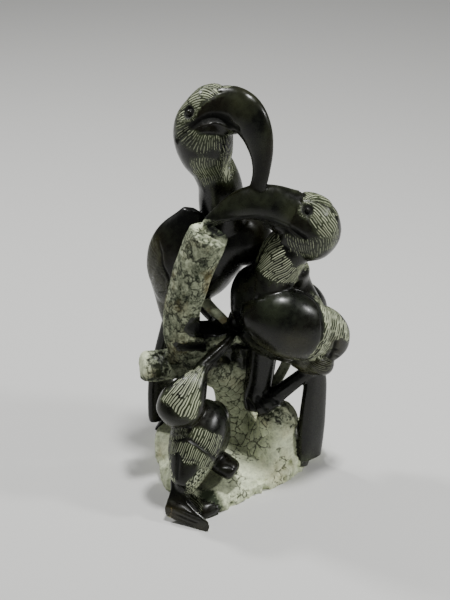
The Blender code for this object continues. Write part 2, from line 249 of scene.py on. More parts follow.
def white_noise(*numbers: Array) -> Array:
    """A number from 0 to 1 for each set of numbers, the same one that the shader's white noise gives.

    The bits of the numbers are mixed by shifts and subtractions until nothing of their order is left.

    Args:
        *numbers: Two or three rows of numbers.

    Returns:
        One number for each set.
    """
    keys = [np.ascontiguousarray(row, np.float32).view(np.uint32) for row in numbers]
    start = np.uint32((HASH_START + (len(keys) << 2) + 13) & ALL_BITS)
    mixed = [np.full(len(keys[0]), start, np.uint32) + (keys[i] if i < len(keys) else 0) for i in range(3)]
    mixed = [row.astype(np.uint32) for row in mixed]
    for target, source, shift in HASH_TURNS:
        turned = (mixed[source] << np.uint32(shift)) | (mixed[source] >> np.uint32(32 - shift))
        mixed[target] = (mixed[target] ^ mixed[source]) - turned
    return mixed[2] / np.float64(ALL_BITS)


def on_sheet(spots: Array) -> Array:
    """Where pattern places fall on the drawing sheet, seen from its own distance.

    Args:
        spots: Rows of pattern places.

    Returns:
        Rows of marks across and down the sheet.
    """
    away = spots * SHARE * 1000 + np.array((0, 0, RIM_HEIGHT * 1000)) - np.array(SHEET_MIDDLE)
    cos, sin = math.cos(SHEET_LEAN), math.sin(SHEET_LEAN)
    share = SHEET_DISTANCE / (SHEET_DISTANCE + away[:, 1] * cos - away[:, 2] * sin)
    across = SHEET_MARK[0] + share * away[:, 0]
    down = SHEET_MARK[1] - share * (away[:, 2] * cos + away[:, 1] * sin)
    return np.stack((across, down), axis=1)


def stroke_depth(place: Array, kind: Array, wander: Array, mask: Array) -> Array:
    """How deep the chisel's strokes are, worked out as the shader works out their colour.

    The turn round the axis is cut into columns, each column into strokes of one length that start
    anywhere, and a stroke is deepest along its middle and narrows to its ends.

    Args:
        place: Rows of two numbers across the axis and one along the strokes.
        kind: Rows of the number of columns, the length and the pale share.
        wander: How far the columns are bent, in columns.
        mask: How far each place is inside its patch.

    Returns:
        Numbers from 0 to 1.
    """
    count, length, cover = kind.T
    phase = np.arctan2(place[:, 1], place[:, 0]) / (2 * math.pi) * count + wander
    column = np.floor(phase)
    run = white_noise(column, count) * 7.0 + place[:, 2] / length
    chance = white_noise(column, count, np.floor(run))
    off = np.abs(phase - column - 0.5 + 0.3 * (chance - 0.5))
    ends = np.abs(run - np.floor(run) - 0.5)
    taper = smooth_step(0.0, 1.0, (0.5 - ends) * length / STROKE_END)
    half = np.minimum(cover, 1 - cover) * (0.34 + 0.32 * chance) * taper
    stroke = smooth_step(-0.16, 0.12, half - off) * np.clip(taper / 0.15, 0, 1)
    loop = smooth_step(0.95, 0.35, np.hypot(off * 2.1, ends * 2.1))
    present = smooth_step(0.0, 0.2, mask - 0.15 - 0.6 * chance)
    return np.where(cover > 1, loop, stroke) * present


def facing_sheet(normals: Array) -> Array:
    """How squarely surfaces face the sheet.

    Args:
        normals: Rows of directions out of the stone.

    Returns:
        1 where a surface faces it, 0 at right angles, and less behind.
    """
    return normals @ np.array((0.0, -math.cos(SHEET_LEAN), math.sin(SHEET_LEAN)))


def distance_to_path(places: Array, path: Array) -> tuple[Array, Array]:
    """How far each place is from a path of straight runs, in two or three dimensions.

    Args:
        places: Rows of places.
        path: The path's corners.

    Returns:
        The distances, and how far along the path the nearest points lie, in corners.
    """
    nearest = np.full(len(places), np.inf)
    station = np.zeros(len(places))
    for i, (start, end) in enumerate(zip(path, path[1:])):
        run = end - start
        along = np.clip((places - start) @ run / (run @ run), 0, 1)
        away = np.linalg.norm(places - start - np.outer(along, run), axis=1)
        station = np.where(away < nearest, i + along, station)
        nearest = np.minimum(nearest, away)
    return nearest, station


def inside_outline(marks: Array, outline: tuple[Mark, ...], soft: float) -> Array:
    """How far inside a drawn outline each mark lies, as a mask with a soft edge.

    A mark is inside where a line to the right crosses the outline an odd number of times, and the
    edge softens with the distance to the nearest side.

    Args:
        marks: Rows of two numbers on the sheet.
        outline: The outline's corners.
        soft: Half the width of its soft edge.

    Returns:
        Numbers from 0 outside to 1 inside.
    """
    corners = np.array(outline, float)
    closed = np.vstack((corners, corners[:1]))
    within = np.zeros(len(marks), bool)
    for (x0, y0), (x1, y1) in zip(closed, closed[1:]):
        if y0 != y1:
            spans = (marks[:, 1] >= min(y0, y1)) & (marks[:, 1] < max(y0, y1))
            within ^= spans & (marks[:, 0] < x0 + (marks[:, 1] - y0) * (x1 - x0) / (y1 - y0))
    edge, _ = distance_to_path(marks, closed)
    return smooth_step(-soft, soft, np.where(within, edge, -edge))


@dataclass(frozen=True)
class Plane:
    """The plane that halves a bird. side points to its far half."""

    point: Point
    side: Point

    def folded(self, places: Array, normals: Array) -> tuple[Array, Array]:
        """Lays the far half over the near half, so that both carry the same carving.

        Args:
            places: Rows of pattern places.
            normals: Their directions out of the stone.

        Returns:
            Both, with the far ones mirrored.
        """
        side = np.array(self.side) / np.linalg.norm(self.side)
        away = np.maximum((places - np.array(self.point)) @ side, 0)
        turned = np.where(away > 0, 2 * (normals @ side), 0)
        return places - 2 * np.outer(away, side), normals - np.outer(turned, side)


@dataclass(frozen=True)
class Form:
    """A closed form whose section changes along a path.

    Each row is x, y, z, half the width along side and half the height across it, or one radius.
    power squares the section up from an ellipse, ridge narrows its upper half, and up sets the
    section in the plane of side and up instead of square to the path.
    """

    name: str
    rows: tuple[tuple[float, ...], ...]
    side: Point = (0.0, 1.0, 0.0)
    caps: tuple[float, float] = (0.0, 0.0)
    power: float = 2.0
    ridge: float = 0.0
    up: Point | None = None

    def rings(self) -> tuple[Array, Array, Array, Array, Array]:
        """Works out the rings' middles and frames.

        Returns:
            Middles, headings, sideways and upward directions, and half sizes.
        """
        rows = np.array(self.rows, float)
        if rows.shape[1] == 4:
            rows = np.hstack((rows, rows[:, 3:]))
        found = eased(rows)
        places = found[:, :3]
        sizes = found[:, 3:5] * self.closing(places)[:, None]
        heading = np.gradient(places, axis=0)
        heading /= np.linalg.norm(heading, axis=1)[:, None]
        side = np.array(self.side)
        if self.up is None:
            across = side - heading * (heading @ side)[:, None]
            across /= np.linalg.norm(across, axis=1)[:, None]
            over = np.cross(heading, across)
            over *= math.copysign(1, over[0, 2])
        else:
            across = np.tile(side / np.linalg.norm(side), (len(found), 1))
            over = np.tile(np.array(self.up) / np.linalg.norm(self.up), (len(found), 1))
        return places, heading, across, over, sizes

    def closing(self, places: Array) -> Array:
        """How far each ring shrinks so that the ends close in a quarter circle.

        Args:
            places: The rings' middles.

        Returns:
            A share of the full size for each ring.
        """
        steps = np.linalg.norm(np.diff(places, axis=0), axis=1)
        run = np.concatenate(((0.0,), np.cumsum(steps)))
        keep = np.ones(len(run))
        for length, distance in ((self.caps[0], run), (self.caps[1], run[-1] - run)):
            if length:
                inside = np.clip(1 - distance / length, 0, 1)
                keep = np.minimum(keep, np.sqrt(np.clip(1 - inside ** 2, 0.0004, 1)))
        return keep

    def surface(self) -> tuple[Array, Array]:
        """The form's surface, as a grid of ring by turn with a fan on each end.

        A point is its ring's middle plus a rounded-square curve of the turn in the ring's plane.

        Returns:
            Places, and triangles as rows of three.
        """
        places, _, across, over, sizes = self.rings()
        turn = np.arange(RING_POINTS) * 2 * math.pi / RING_POINTS
        wide = np.sign(np.cos(turn)) * np.abs(np.cos(turn)) ** (2 / self.power)
        high = np.sign(np.sin(turn)) * np.abs(np.sin(turn)) ** (2 / self.power)
        wide = wide * (1 - self.ridge * high)
        grid = (places[:, None] + wide[None, :, None] * (sizes[:, :1] * across)[:, None]
                + high[None, :, None] * (sizes[:, 1:] * over)[:, None])
        return closed_grid(grid)

    def depth(self, spots: Array) -> Array:
        """How far each spot stands off the form's surface, less than 0 inside.

        The nearest ring is found, and the spot's place in that ring's frame is read against the
        ring's own half sizes.

        Args:
            spots: Rows of pattern places.

        Returns:
            One distance for each row.
        """
        places, heading, across, over, sizes = self.rings()
        result = np.full(len(spots), FAR)
        reach = sizes.max() + 6
        near = np.all((spots > places.min(0) - reach) & (spots < places.max(0) + reach), axis=1)
        chosen = spots[near]
        if not len(chosen):
            return result
        away = (chosen ** 2).sum(1)[:, None] + (places ** 2).sum(1)[None] - 2 * chosen @ places.T
        ring = np.argmin(away, axis=1)
        local = chosen - places[ring]
        w, h = sizes[ring, 0], sizes[ring, 1]
        b = np.abs((local * over[ring]).sum(-1)) / h
        lean = 1 - self.ridge * np.clip((local * over[ring]).sum(-1) / h, -1, 1)
        a = np.abs((local * across[ring]).sum(-1)) / w / lean
        along = np.abs((local * heading[ring]).sum(-1))
        level = (a ** self.power + b ** self.power) ** (1 / self.power)
        spacing = np.linalg.norm(np.diff(places, axis=0), axis=1).max()
        result[near] = (level - 1) * np.minimum(w, h) + np.maximum(along - spacing, 0)
        return result

    def mirrored(self, plane: Plane, share: float = 1.0, skip: int = 0) -> "Form":
        """The same form on the other side of a plane.

        Args:
            plane: The plane.
            share: How far out the copy stands, against this form.
            skip: How many of the first rows are left out.

        Returns:
            The new form.
        """
        rows = np.array(self.rows[skip:], float)
        side = np.array(plane.side)
        away = (rows[:, :3] - np.array(plane.point)) @ side
        rows[:, :3] -= (1 + share) * away[:, None] * side
        return Form(self.name, tuple(map(tuple, rows.tolist())), self.side, self.caps, self.power, self.ridge)


FAR = 99.0


def closed_grid(grid: Array) -> tuple[Array, Array]:
    """Joins rings of points into a closed surface with a fan on each end.

    Args:
        grid: Rings by points by three.

    Returns:
        Places, and triangles as rows of three.
    """
    rings, around = grid.shape[:2]
    places = np.vstack((grid.reshape(-1, 3), grid[0].mean(0), grid[-1].mean(0)))
    i, j = np.meshgrid(np.arange(rings - 1), np.arange(around), indexing="ij")
    here = (i * around + j).ravel()
    beside = (i * around + (j + 1) % around).ravel()
    turn = np.arange(around)
    following = (turn + 1) % around
    start = np.stack((np.full(around, rings * around), following, turn), axis=1)
    top = (rings - 1) * around
    end = np.stack((np.full(around, rings * around + 1), top + turn, top + following), axis=1)
    sides = np.vstack((np.stack((here, beside, beside + around), axis=1),
                       np.stack((here, beside + around, here + around), axis=1)))
    return places, np.vstack((sides, start, end))


def ball(name: str, middle: Point, radii: Point) -> Form:
    """A round lump, as a short upright form.

    Its rings shrink by the cosine of their height's angle.

    Args:
        name: Its name.
        middle: Its middle.
        radii: Half its width, depth and height.

    Returns:
        The form.
    """
    lift = np.sin(np.linspace(-0.98, 0.98, 9) * math.pi / 2)
    across = np.sqrt(1 - lift ** 2)
    rows = [(middle[0], middle[1], middle[2] + radii[2] * s, radii[1] * c, radii[0] * c)
            for s, c in zip(lift, across)]
    return Form(name, tuple(rows), up=(1.0, 0.0, 0.0))


@dataclass(frozen=True)
class Spots:
    """Places on the stone, with what every carving tool needs to know about them."""

    places: Array
    normals: Array
    nearest: NDArray[np.int64]
    titles: tuple[str, ...]

    def on(self, wanted: tuple[str, ...]) -> NDArray[np.bool_]:
        """Which places lie on forms whose names start with one of these.

        Args:
            wanted: The names, or their beginnings.

        Returns:
            A yes or no for each place.
        """
        return np.array([title.startswith(wanted) for title in self.titles])[self.nearest]

    def folded(self, plane: Plane | None) -> tuple[Array, Array]:
        """The places and normals, with a bird's far half laid over its near half.

        Args:
            plane: The bird's middle plane, if it has one.

        Returns:
            Places and normals.
        """
        if plane is None:
            return self.places, self.normals
        return plane.folded(self.places, self.normals)


@dataclass(frozen=True)
class Cut:
    """A line cut along a path in space, or raised where deep is less than 0."""

    wide: float
    deep: float
    path: tuple[Point, ...]
    plane: Plane | None = None

    def relief(self, spots: Spots) -> Array:
        """How far the line lowers each place: a bell curve across the path.

        Args:
            spots: The places.

        Returns:
            Depths in pattern units.
        """
        path = np.array(self.path, float)
        found = np.zeros(len(spots.places))
        lines = [path]
        if self.plane is not None:
            side = np.array(self.plane.side)
            lines.append(path - 2 * np.outer((path - np.array(self.plane.point)) @ side, side))
        for line in lines:
            rows = eased(line)
            near = np.all((spots.places > rows.min(0) - 9) & (spots.places < rows.max(0) + 9), axis=1)
            away, _ = distance_to_path(spots.places[near], rows)
            found[near] = np.maximum(found[near], np.exp(-(away / self.wide) ** 2))
        return found * self.deep


@dataclass(frozen=True)
class Drawn:
    """A line drawn on the sheet and laid on the forms that face it. deep under 0 raises it."""

    forms: tuple[str, ...]
    wide: float
    deep: float
    path: tuple[Mark, ...]
    plane: Plane | None = None

    def relief(self, spots: Spots) -> Array:
        """How far the line lowers each place: a bell curve across the drawn path.

        Args:
            spots: The places.

        Returns:
            Depths in pattern units.
        """
        places, normals = spots.folded(self.plane)
        rows = eased(np.array(self.path, float))
        marks = on_sheet(places)
        near = spots.on(self.forms) & np.all((marks > rows.min(0) - 9) & (marks < rows.max(0) + 9), axis=1)
        away, station = distance_to_path(marks[near], rows)
        thin = np.clip(np.minimum(station, len(rows) - 1 - station) / EASING_STEPS, 0.25, 1)
        found = np.zeros(len(marks))
        found[near] = np.exp(-(away / self.wide / thin) ** 2) * thin
        return found * self.deep * smooth_step(0.0, 0.3, facing_sheet(normals))


@dataclass(frozen=True)
class Dent:
    """A round hollow drawn on the sheet, or a boss where deep is less than 0."""

    forms: tuple[str, ...]
    middle: Mark
    radii: Mark
    deep: float

    def relief(self, spots: Spots) -> Array:
        """How far it lowers each place: level in the middle, with an even slope to its rim.

        Args:
            spots: The places.

        Returns:
            Depths in pattern units.
        """
        marks = (on_sheet(spots.places) - np.array(self.middle)) / np.array(self.radii)
        shape = smooth_step(1.1, 0.45, np.linalg.norm(marks, axis=1))
        dented = np.where(spots.on(self.forms), shape, 0) * self.deep
        return dented * smooth_step(0.0, 0.3, facing_sheet(spots.normals))


@dataclass(frozen=True)
class Eye:
    """An eye: a sunk ring with a ball in it."""

    place: Point
    plane: Plane
    socket: float = 7.0
    sunk: float = 2.6
    ball: float = 3.4
    out: float = 3.0

    def middles(self) -> tuple[Array, Array]:
        """The eye's own place, and its image on the far side.

        Returns:
            Both places.
        """
        place = np.array(self.place, float)
        side = np.array(self.plane.side)
        return place, place - 2 * ((place - np.array(self.plane.point)) @ side) * side

    def relief(self, spots: Spots) -> Array:
        """A flat-bottomed hollow, a low rim around it and a half ball inside.

        Args:
            spots: The places.

        Returns:
            Depths in pattern units.
        """
        found = np.zeros(len(spots.places))
        for middle in self.middles():
            away = np.linalg.norm(spots.places - middle, axis=1)
            found += self.sunk * np.exp(-(away / self.socket) ** 4)
            found -= self.out * np.sqrt(np.clip(1 - (away / self.ball) ** 2, 0, 1))
            found += 0.5 * np.exp(-((away - self.ball - 1.0) / 0.8) ** 2)
            found -= 0.5 * np.exp(-((away - self.socket) / 1.2) ** 2)
        return found

    def clear(self, spots: Spots) -> Array:
        """Keeps strokes out of the eye.

        Args:
            spots: The places.

        Returns:
            0 inside the socket and 1 outside it.
        """
        away = np.min([np.linalg.norm(spots.places - middle, axis=1) for middle in self.middles()], axis=0)
        return smooth_step(self.socket - 1.2, self.socket + 1.2, away)


@dataclass(frozen=True)
class Patch:
    """A patch of chiselled strokes, drawn on the sheet or as a ring around its centre.

    cover is the share of the patch that is pale: under a half, the strokes are pale on dark stone,
    over a half they are dark on pale stone, and over 1 they are pale loops, one for each feather.
    """

    forms: tuple[str, ...]
    outline: tuple[Mark, ...]
    centre: Point
    axis: Point
    flow: Flow
    cover: float
    tone: float = 0.5
    pitch: float = 1.9
    length: float = 14.0
    plane: Plane | None = None
    ring: tuple[float, float] | None = None
    soft: float = 2.6

    def mask(self, spots: Spots) -> Array:
        """Where the patch lies.

        Args:
            spots: The places.

        Returns:
            Numbers from 0 outside to 1 inside.
        """
        places, normals = spots.folded(self.plane)
        found = np.zeros(len(places))
        chosen = spots.on(self.forms)
        if self.ring is not None:
            away = np.linalg.norm(places[chosen] - np.array(self.centre), axis=1)
            inner, outer = self.ring
            found[chosen] = smooth_step(inner - 1, inner + 1, away) * smooth_step(outer + 2, outer - 1, away)
            return found
        marks = on_sheet(places[chosen])
        ragged = 1.6 * noise(places[chosen], 4.0, 3.0)[:, None]
        found[chosen] = inside_outline(marks + ragged, self.outline, self.soft)
        found[chosen] *= smooth_step(-0.12, 0.15, facing_sheet(normals[chosen]))
        return found

    def strokes(self, spots: Spots) -> Array:
        """Where each place lies in the patch's own frame.

        Args:
            spots: The places.

        Returns:
            Rows of two numbers across the axis, and one along the strokes, in millimetres.
        """
        places, _ = spots.folded(self.plane)
        along = np.array(self.axis) / np.linalg.norm(self.axis)
        first = np.cross(along, (0.31, 0.52, 0.79))
        first /= np.linalg.norm(first)
        second = np.cross(along, first)
        away = places - np.array(self.centre)
        run = away @ along if self.flow is Flow.ALONG else np.linalg.norm(away, axis=1)
        return np.stack((away @ first, away @ second, run), axis=1)


@dataclass(frozen=True)
class Tint:
    """A patch of another finish or of painted light, drawn on the sheet. None leaves that side of the finish
    alone.
    """

    forms: tuple[str, ...]
    outline: tuple[Mark, ...]
    polish: float | None = None
    tone: float | None = None
    brown: float | None = None
    soft: float = 4.0
    plane: Plane | None = None

    def mask(self, spots: Spots) -> Array:
        """Where the patch lies.

        Args:
            spots: The places.

        Returns:
            Numbers from 0 outside to 1 inside.
        """
        places, normals = spots.folded(self.plane)
        found = np.zeros(len(places))
        chosen = spots.on(self.forms)
        marks = on_sheet(places[chosen]) + self.soft * 0.6 * noise(places[chosen], 7.0, 5.0)[:, None]
        found[chosen] = inside_outline(marks, self.outline, self.soft)
        found[chosen] *= smooth_step(-0.2, 0.1, facing_sheet(normals[chosen]))
        return found


@dataclass
class Part:
    """One part of the carving: its forms, and what is cut and drawn on them."""

    owner: Owner
    forms: list[Form] = field(default_factory=list)
    cuts: list[Cut | Drawn | Dent | Eye] = field(default_factory=list)
    patches: list[Patch] = field(default_factory=list)
    tints: list[Tint] = field(default_factory=list)

    def depth(self, places: Array) -> tuple[Array, NDArray[np.int64]]:
        """How far places stand off the part, and which of its forms is nearest.

        Args:
            places: Rows of pattern places.

        Returns:
            Distances, and the forms' numbers.
        """
        each = np.stack([form.depth(places) for form in self.forms])
        return each.min(axis=0), np.argmin(each, axis=0)


class Tree(Part):
    """The broken trunk, its stub on the left and the bough that the first bird stands on."""

    def __init__(self) -> None:
        """Draws the tree's forms and its carving."""
        super().__init__(Owner.TREE)
        self.forms = [
            Form("trunk", ((-4, 32, 12, 31), (-4, 31, 26, 25), (-5, 29, 47, 19), (-6, 27, 68, 18),
                (-12, 21, 94, 19), (-28, 10, 115, 21), (-46, 2, 135, 21), (-56, -3, 160, 19),
                (-56, -5, 187, 18.5), (-50, -5, 213, 19), (-42, -5, 241, 20), (-34, -5, 262, 20.5),
                (-29, -6, 275, 20))),
            Form("fork", ((-3, 28, 66, 17), (-1, 25, 92, 17), (2, 20, 118, 15), (5, 14, 142, 13))),
            Form("stub", ((-46, 1, 125, 19), (-64, -3, 125, 16), (-83, -10, 126.5, 16),
                (-94.5, -13, 128, 15.5), (-98.5, -14, 128.5, 12))),
            Form("bough", ((-52, 2, 158, 11, 12), (-30, 10, 154, 13, 12), (-8, 15, 150, 13, 11),
                (14, 17, 151, 12, 11))),
            Form("web", ((-44, 3, 140, 14, 15), (-24, 12, 134, 12, 15), (-4, 18, 130, 10, 13))),
        ]
        self.cuts = [
            # the broken top, hollowed, with a splinter standing at its left and a lip at its right
            Dent(("trunk",), (215, 230), (13, 8), 4.0),
            Drawn(("trunk",), 2.2, -1.8, ((196, 219), (200, 228), (207, 237), (216, 241), (226, 238),
                (232, 233))),
            Drawn(("trunk",), 1.6, 1.2, ((212, 226), (220, 229), (228, 228))),
            Drawn(("trunk",), 1.5, -1.4, ((221, 236), (227, 234), (231, 230))),
            # the perch: a hollowed top, a pale lip in front of it and a deep line under the lip
            Dent(("bough", "trunk", "web"), (209, 328), (26, 7.5), 2.4),
            Drawn(("bough", "trunk", "web"), 2.4, -1.8, ((180, 339), (196, 340), (212, 339), (226, 335),
                (236, 328))),
            Drawn(("bough", "trunk", "web"), 2.4, 2.6, ((181, 346), (192, 347), (204, 346), (212, 342))),
            Drawn(("web", "trunk"), 1.6, 1.4, ((182, 357), (192, 359), (203, 356))),
            Drawn(("web", "fork", "trunk"), 1.8, 1.8, ((236, 346), (243, 352), (246, 362), (243, 372))),
            # the stub's rim and the crease where it leaves the trunk
            Drawn(("stub",), 1.5, 1.0, ((158, 350), (161, 360), (162, 371), (160, 379))),
            Drawn(("stub", "trunk"), 2.2, 1.8, ((169, 350), (171, 362), (177, 374), (186, 380))),
        ]
        self.tints = [
            Tint(("bough", "trunk"), ((190, 318), (215, 317), (238, 322), (238, 330), (224, 336), (205, 338),
                (190, 337), (184, 330)), polish=0.9, tone=0.1, soft=2.0),
            Tint(("web", "fork", "trunk"), ((214, 342), (250, 342), (256, 366), (244, 372), (232, 364),
                (216, 368), (206, 372), (204, 352)), polish=0.55, tone=0.2, soft=5.0),
            Tint(("web", "trunk", "bough"), ((172, 343), (206, 341), (206, 351), (178, 352)), polish=0.7,
                tone=0.1, soft=2.0),
            Tint(("web", "trunk", "stub"), ((172, 350), (205, 350), (203, 372), (186, 382), (172, 372)),
                tone=0.22, soft=4.0),
            Tint(("stub",), ((150, 349), (166, 349), (171, 362), (168, 380), (152, 380), (148, 364)),
                polish=0.5, tone=0.35, soft=4.0),
            Tint(("stub",), ((138, 352), (148, 350), (150, 364), (148, 378), (138, 372)), tone=0.85,
                brown=0.25),
            # painted highlight: the splinter at the left of the broken top, made fully pale
            Tint(("trunk",), ((190, 214), (202, 216), (204, 232), (194, 230)), tone=1.0, soft=2.0),
            # painted shade: the hollow of the broken top, under the second bird's beak tip, made dark
            Tint(("trunk",), ((205, 224), (216, 221), (232, 224), (230, 236), (212, 238)), polish=0.5,
                tone=0.15, soft=2.0),
            Tint(("trunk", "fork"), ((217, 368), (252, 372), (254, 424), (214, 424)), tone=0.55, soft=6.0),
        ]


FIRST_SIDE: Point = (0.45, 0.893, 0.0)  # to the first bird's left, away from the viewer
FIRST_FACE_SIDE: Point = (0.56, 0.828, 0.0)
FIRST_WINGS = Plane((-24, 53, 220), FIRST_SIDE)
FIRST_FACE = Plane((-33, 32, 376), FIRST_FACE_SIDE)


class FirstBird(Part):
    """The bird behind the tree: head high and turned right, tail down at the left."""

    def __init__(self) -> None:
        """Draws the bird's forms and its carving."""
        super().__init__(Owner.FIRST)
        wing = Form("first_wing", ((-44, 31, 286, 6, 9), (-50, 27, 268, 10, 20), (-62, 24, 245, 13, 27),
            (-70, 27, 218, 13, 25), (-70.5, 35, 190, 10.5, 19), (-71, 43, 160, 8, 12), (-70, 49, 134, 4, 7)),
            side=FIRST_SIDE, caps=(4, 10))
        far_wing = wing.mirrored(FIRST_WINGS, 0.62, 2)
        self.forms = [
            Form("first_body", ((34, 42, 252, 14, 15), (26, 43, 250, 21, 22), (12, 46, 245.5, 26, 29),
                (-6, 49, 241.5, 32, 29.5), (-24, 53, 225, 34, 33), (-40, 57, 203, 31, 34),
                (-54, 59, 180, 24, 26), (-66, 59, 154, 14, 14)), side=FIRST_SIDE, caps=(14, 10)),
            Form("first_neck", ((-12, 50, 250, 27), (-13, 46, 268, 25.5), (-16, 42, 288, 23.5),
                (-18.5, 38, 310, 21.5), (-25, 35, 328, 21))),
            Form("first_head", ((-27, 35, 326, 19, 20), (-31, 34, 342, 25, 27), (-34, 33, 360, 26, 30.5),
                (-33, 32, 376, 25, 28.5), (-29, 32, 390, 21, 22), (-21, 32, 406, 15, 16),
                (-18, 32, 414, 13, 15)), side=FIRST_FACE_SIDE, caps=(0, 16)),
            Form("first_beak", ((-24, 31, 384, 20, 22), (-8, 24, 392, 17, 24), (6, 13, 392.5, 14, 22),
                (16, 7, 379, 12, 18), (21, 3, 362, 9.5, 13.5), (22, 0, 347, 7.5, 10), (20.5, -2, 332, 6, 8.5),
                (15, -3, 313, 5, 8)), side=FIRST_FACE_SIDE, ridge=0.2),
            wing,
            Form("first_covert", ((-57, 24, 262, 5, 9), (-66, 21, 243, 9, 15), (-72, 22, 218, 10, 16),
                (-74, 30, 192, 8, 13), (-73, 38, 170, 4, 8)), side=FIRST_SIDE, caps=(8, 8)),
            Form("first_wing", far_wing.rows, side=FIRST_SIDE, caps=(20, 10)),
            Form("first_tail", ((-60, 60, 164, 14, 10), (-67, 60, 142, 13, 8), (-76, 58, 108, 13, 6.5),
                (-82, 54, 72, 16, 5.5), (-82.5, 48, 34, 17, 5.5), (-82.5, 46, 22, 15, 5.5)),
                side=(0.75, 0.66, 0.0), power=3.0),
            Form("first_leg", ((-38, 46, 182, 8), (-35, 40, 176, 6), (-26, 30, 170, 5.4), (-16, 20, 164, 5.6),
                (-12, 15, 160, 6))),
            Form("first_foot", ((-46, 56, 178, 6), (-42, 50, 171, 5), (-34, 38, 164, 5), (-25, 27, 160, 5))),
        ]
        head = ("first_head", "first_beak", "first_neck")
        crown = ("first_head", "first_beak")
        wing_forms = ("first_wing", "first_covert", "first_body")
        self.cuts = [
            Cut(3.0, 3.2, ((-60, 22, 362), (-46, 11, 380), (-23, 11, 390), (-3, 3, 382)), FIRST_FACE),
            Drawn(crown, 4.0, 3.0, ((192, 127), (203, 120), (215, 117), (226, 120), (237, 128)), FIRST_FACE),
            Drawn(crown, 1.3, -0.7, ((191, 130), (203, 126), (215, 123), (226, 127), (236, 134)), FIRST_FACE),
            Drawn(crown, 1.6, 1.0, ((192, 135), (205, 134), (218, 135), (232, 137)), FIRST_FACE),
            Drawn(crown, 1.6, 0.9, ((196, 114), (203, 103), (213, 96), (224, 90)), FIRST_FACE),
            Eye((-48, 19, 392), FIRST_FACE),
            Drawn(wing_forms, 1.5, 1.3, ((158, 236), (161, 252), (163, 266), (168, 276), (172, 288)),
                FIRST_WINGS),
            Drawn(wing_forms, 1.3, 1.0, ((156, 291), (163, 292), (170, 288)), FIRST_WINGS),
            Drawn(wing_forms, 1.3, 0.9, ((162, 312), (166, 309), (169, 303)), FIRST_WINGS),
            Drawn(wing_forms, 1.3, 0.9, ((158, 270), (164, 279), (165, 290)), FIRST_WINGS),
        ]
        self.patches = [
            Patch(crown, ((176, 108), (184, 96), (198, 84), (212, 78), (226, 82), (225, 89), (214, 96),
                (203, 103), (197, 112), (192, 118), (184, 122), (178, 122)), (-33, 32, 372),
                (0.62, -0.42, 0.75), Flow.ALONG, 0.48, 0.62, pitch=2.5, length=15, plane=FIRST_FACE),
            Patch(head, ((176, 116), (184, 122), (191, 130), (200, 135), (216, 136), (233, 133), (236, 150),
                (228, 155), (214, 149), (203, 154), (193, 151), (185, 146), (177, 138)), (-22, 10, 402),
                (-0.3, -0.95, 0.1), Flow.FAN, 0.26, 0.75, pitch=2.5, length=11, plane=FIRST_FACE),
            Patch(("first_neck", "first_head", "first_body"), ((190, 162), (202, 158), (222, 161), (224, 178),
                (216, 182), (209, 184), (203, 187), (196, 178)), (-17, 39, 300), (-0.2, -0.1, 1), Flow.ALONG,
                0.28, 0.8, pitch=2.5, length=17, plane=FIRST_FACE),
            Patch(("first_neck", "first_head", "first_body"), ((221, 157), (234, 154), (240, 168), (242, 184),
                (232, 186), (222, 180)), (-17, 39, 300), (-0.2, -0.1, 1), Flow.ALONG, 0.6, 0.8, pitch=2.1,
                length=22, plane=FIRST_FACE),
            Patch(crown, (), (-48, 19, 392), (-0.5, -0.85, 0.2), Flow.FAN, 0.4, 0.5, pitch=1.7, length=6,
                ring=(6.0, 9.5), plane=FIRST_FACE),
            Patch(wing_forms, ((146, 244), (154, 236), (160, 250), (162, 264), (167, 276), (171, 288),
                (168, 300), (160, 298), (152, 290), (146, 270)), (-60, 20, 225), (-0.45, -0.9, 0), Flow.FAN,
                0.22, 0.2, pitch=1.9, length=9, plane=FIRST_WINGS),
            Patch(wing_forms, ((158, 296), (168, 300), (168, 318), (160, 314)), (-60, 20, 225),
                (-0.45, -0.9, 0), Flow.FAN, 0.22, 0.25, pitch=1.9, length=8, plane=FIRST_WINGS),
        ]
        self.tints = [
            Tint(wing_forms, ((144, 240), (158, 238), (166, 270), (172, 290), (168, 318), (156, 312),
                (144, 280)), tone=0.25, brown=0.8, soft=5.0, plane=FIRST_WINGS),
            Tint(("first_leg",), ((196, 292), (210, 294), (230, 320), (222, 324), (200, 306)), polish=0.0,
                tone=0.56, brown=0.9, soft=2.0),
            # painted highlight: the right side of the beak lightened where the light catches it
            Tint(("first_beak",), ((226, 86), (262, 92), (274, 140), (262, 150), (240, 130)), tone=0.35,
                soft=10.0),
            Tint(("first_neck",), ((222, 155), (236, 152), (242, 190), (222, 184)), tone=0.5, soft=5.0),
        ]


SECOND_SIDE: Point = (-0.34, 0.94, 0.0)  # to the second bird's right, away from the viewer
SECOND_WINGS = Plane((44, 9, 170), SECOND_SIDE)
SECOND_FACE = Plane((44, -4, 280), (0.0, 1.0, 0.0))


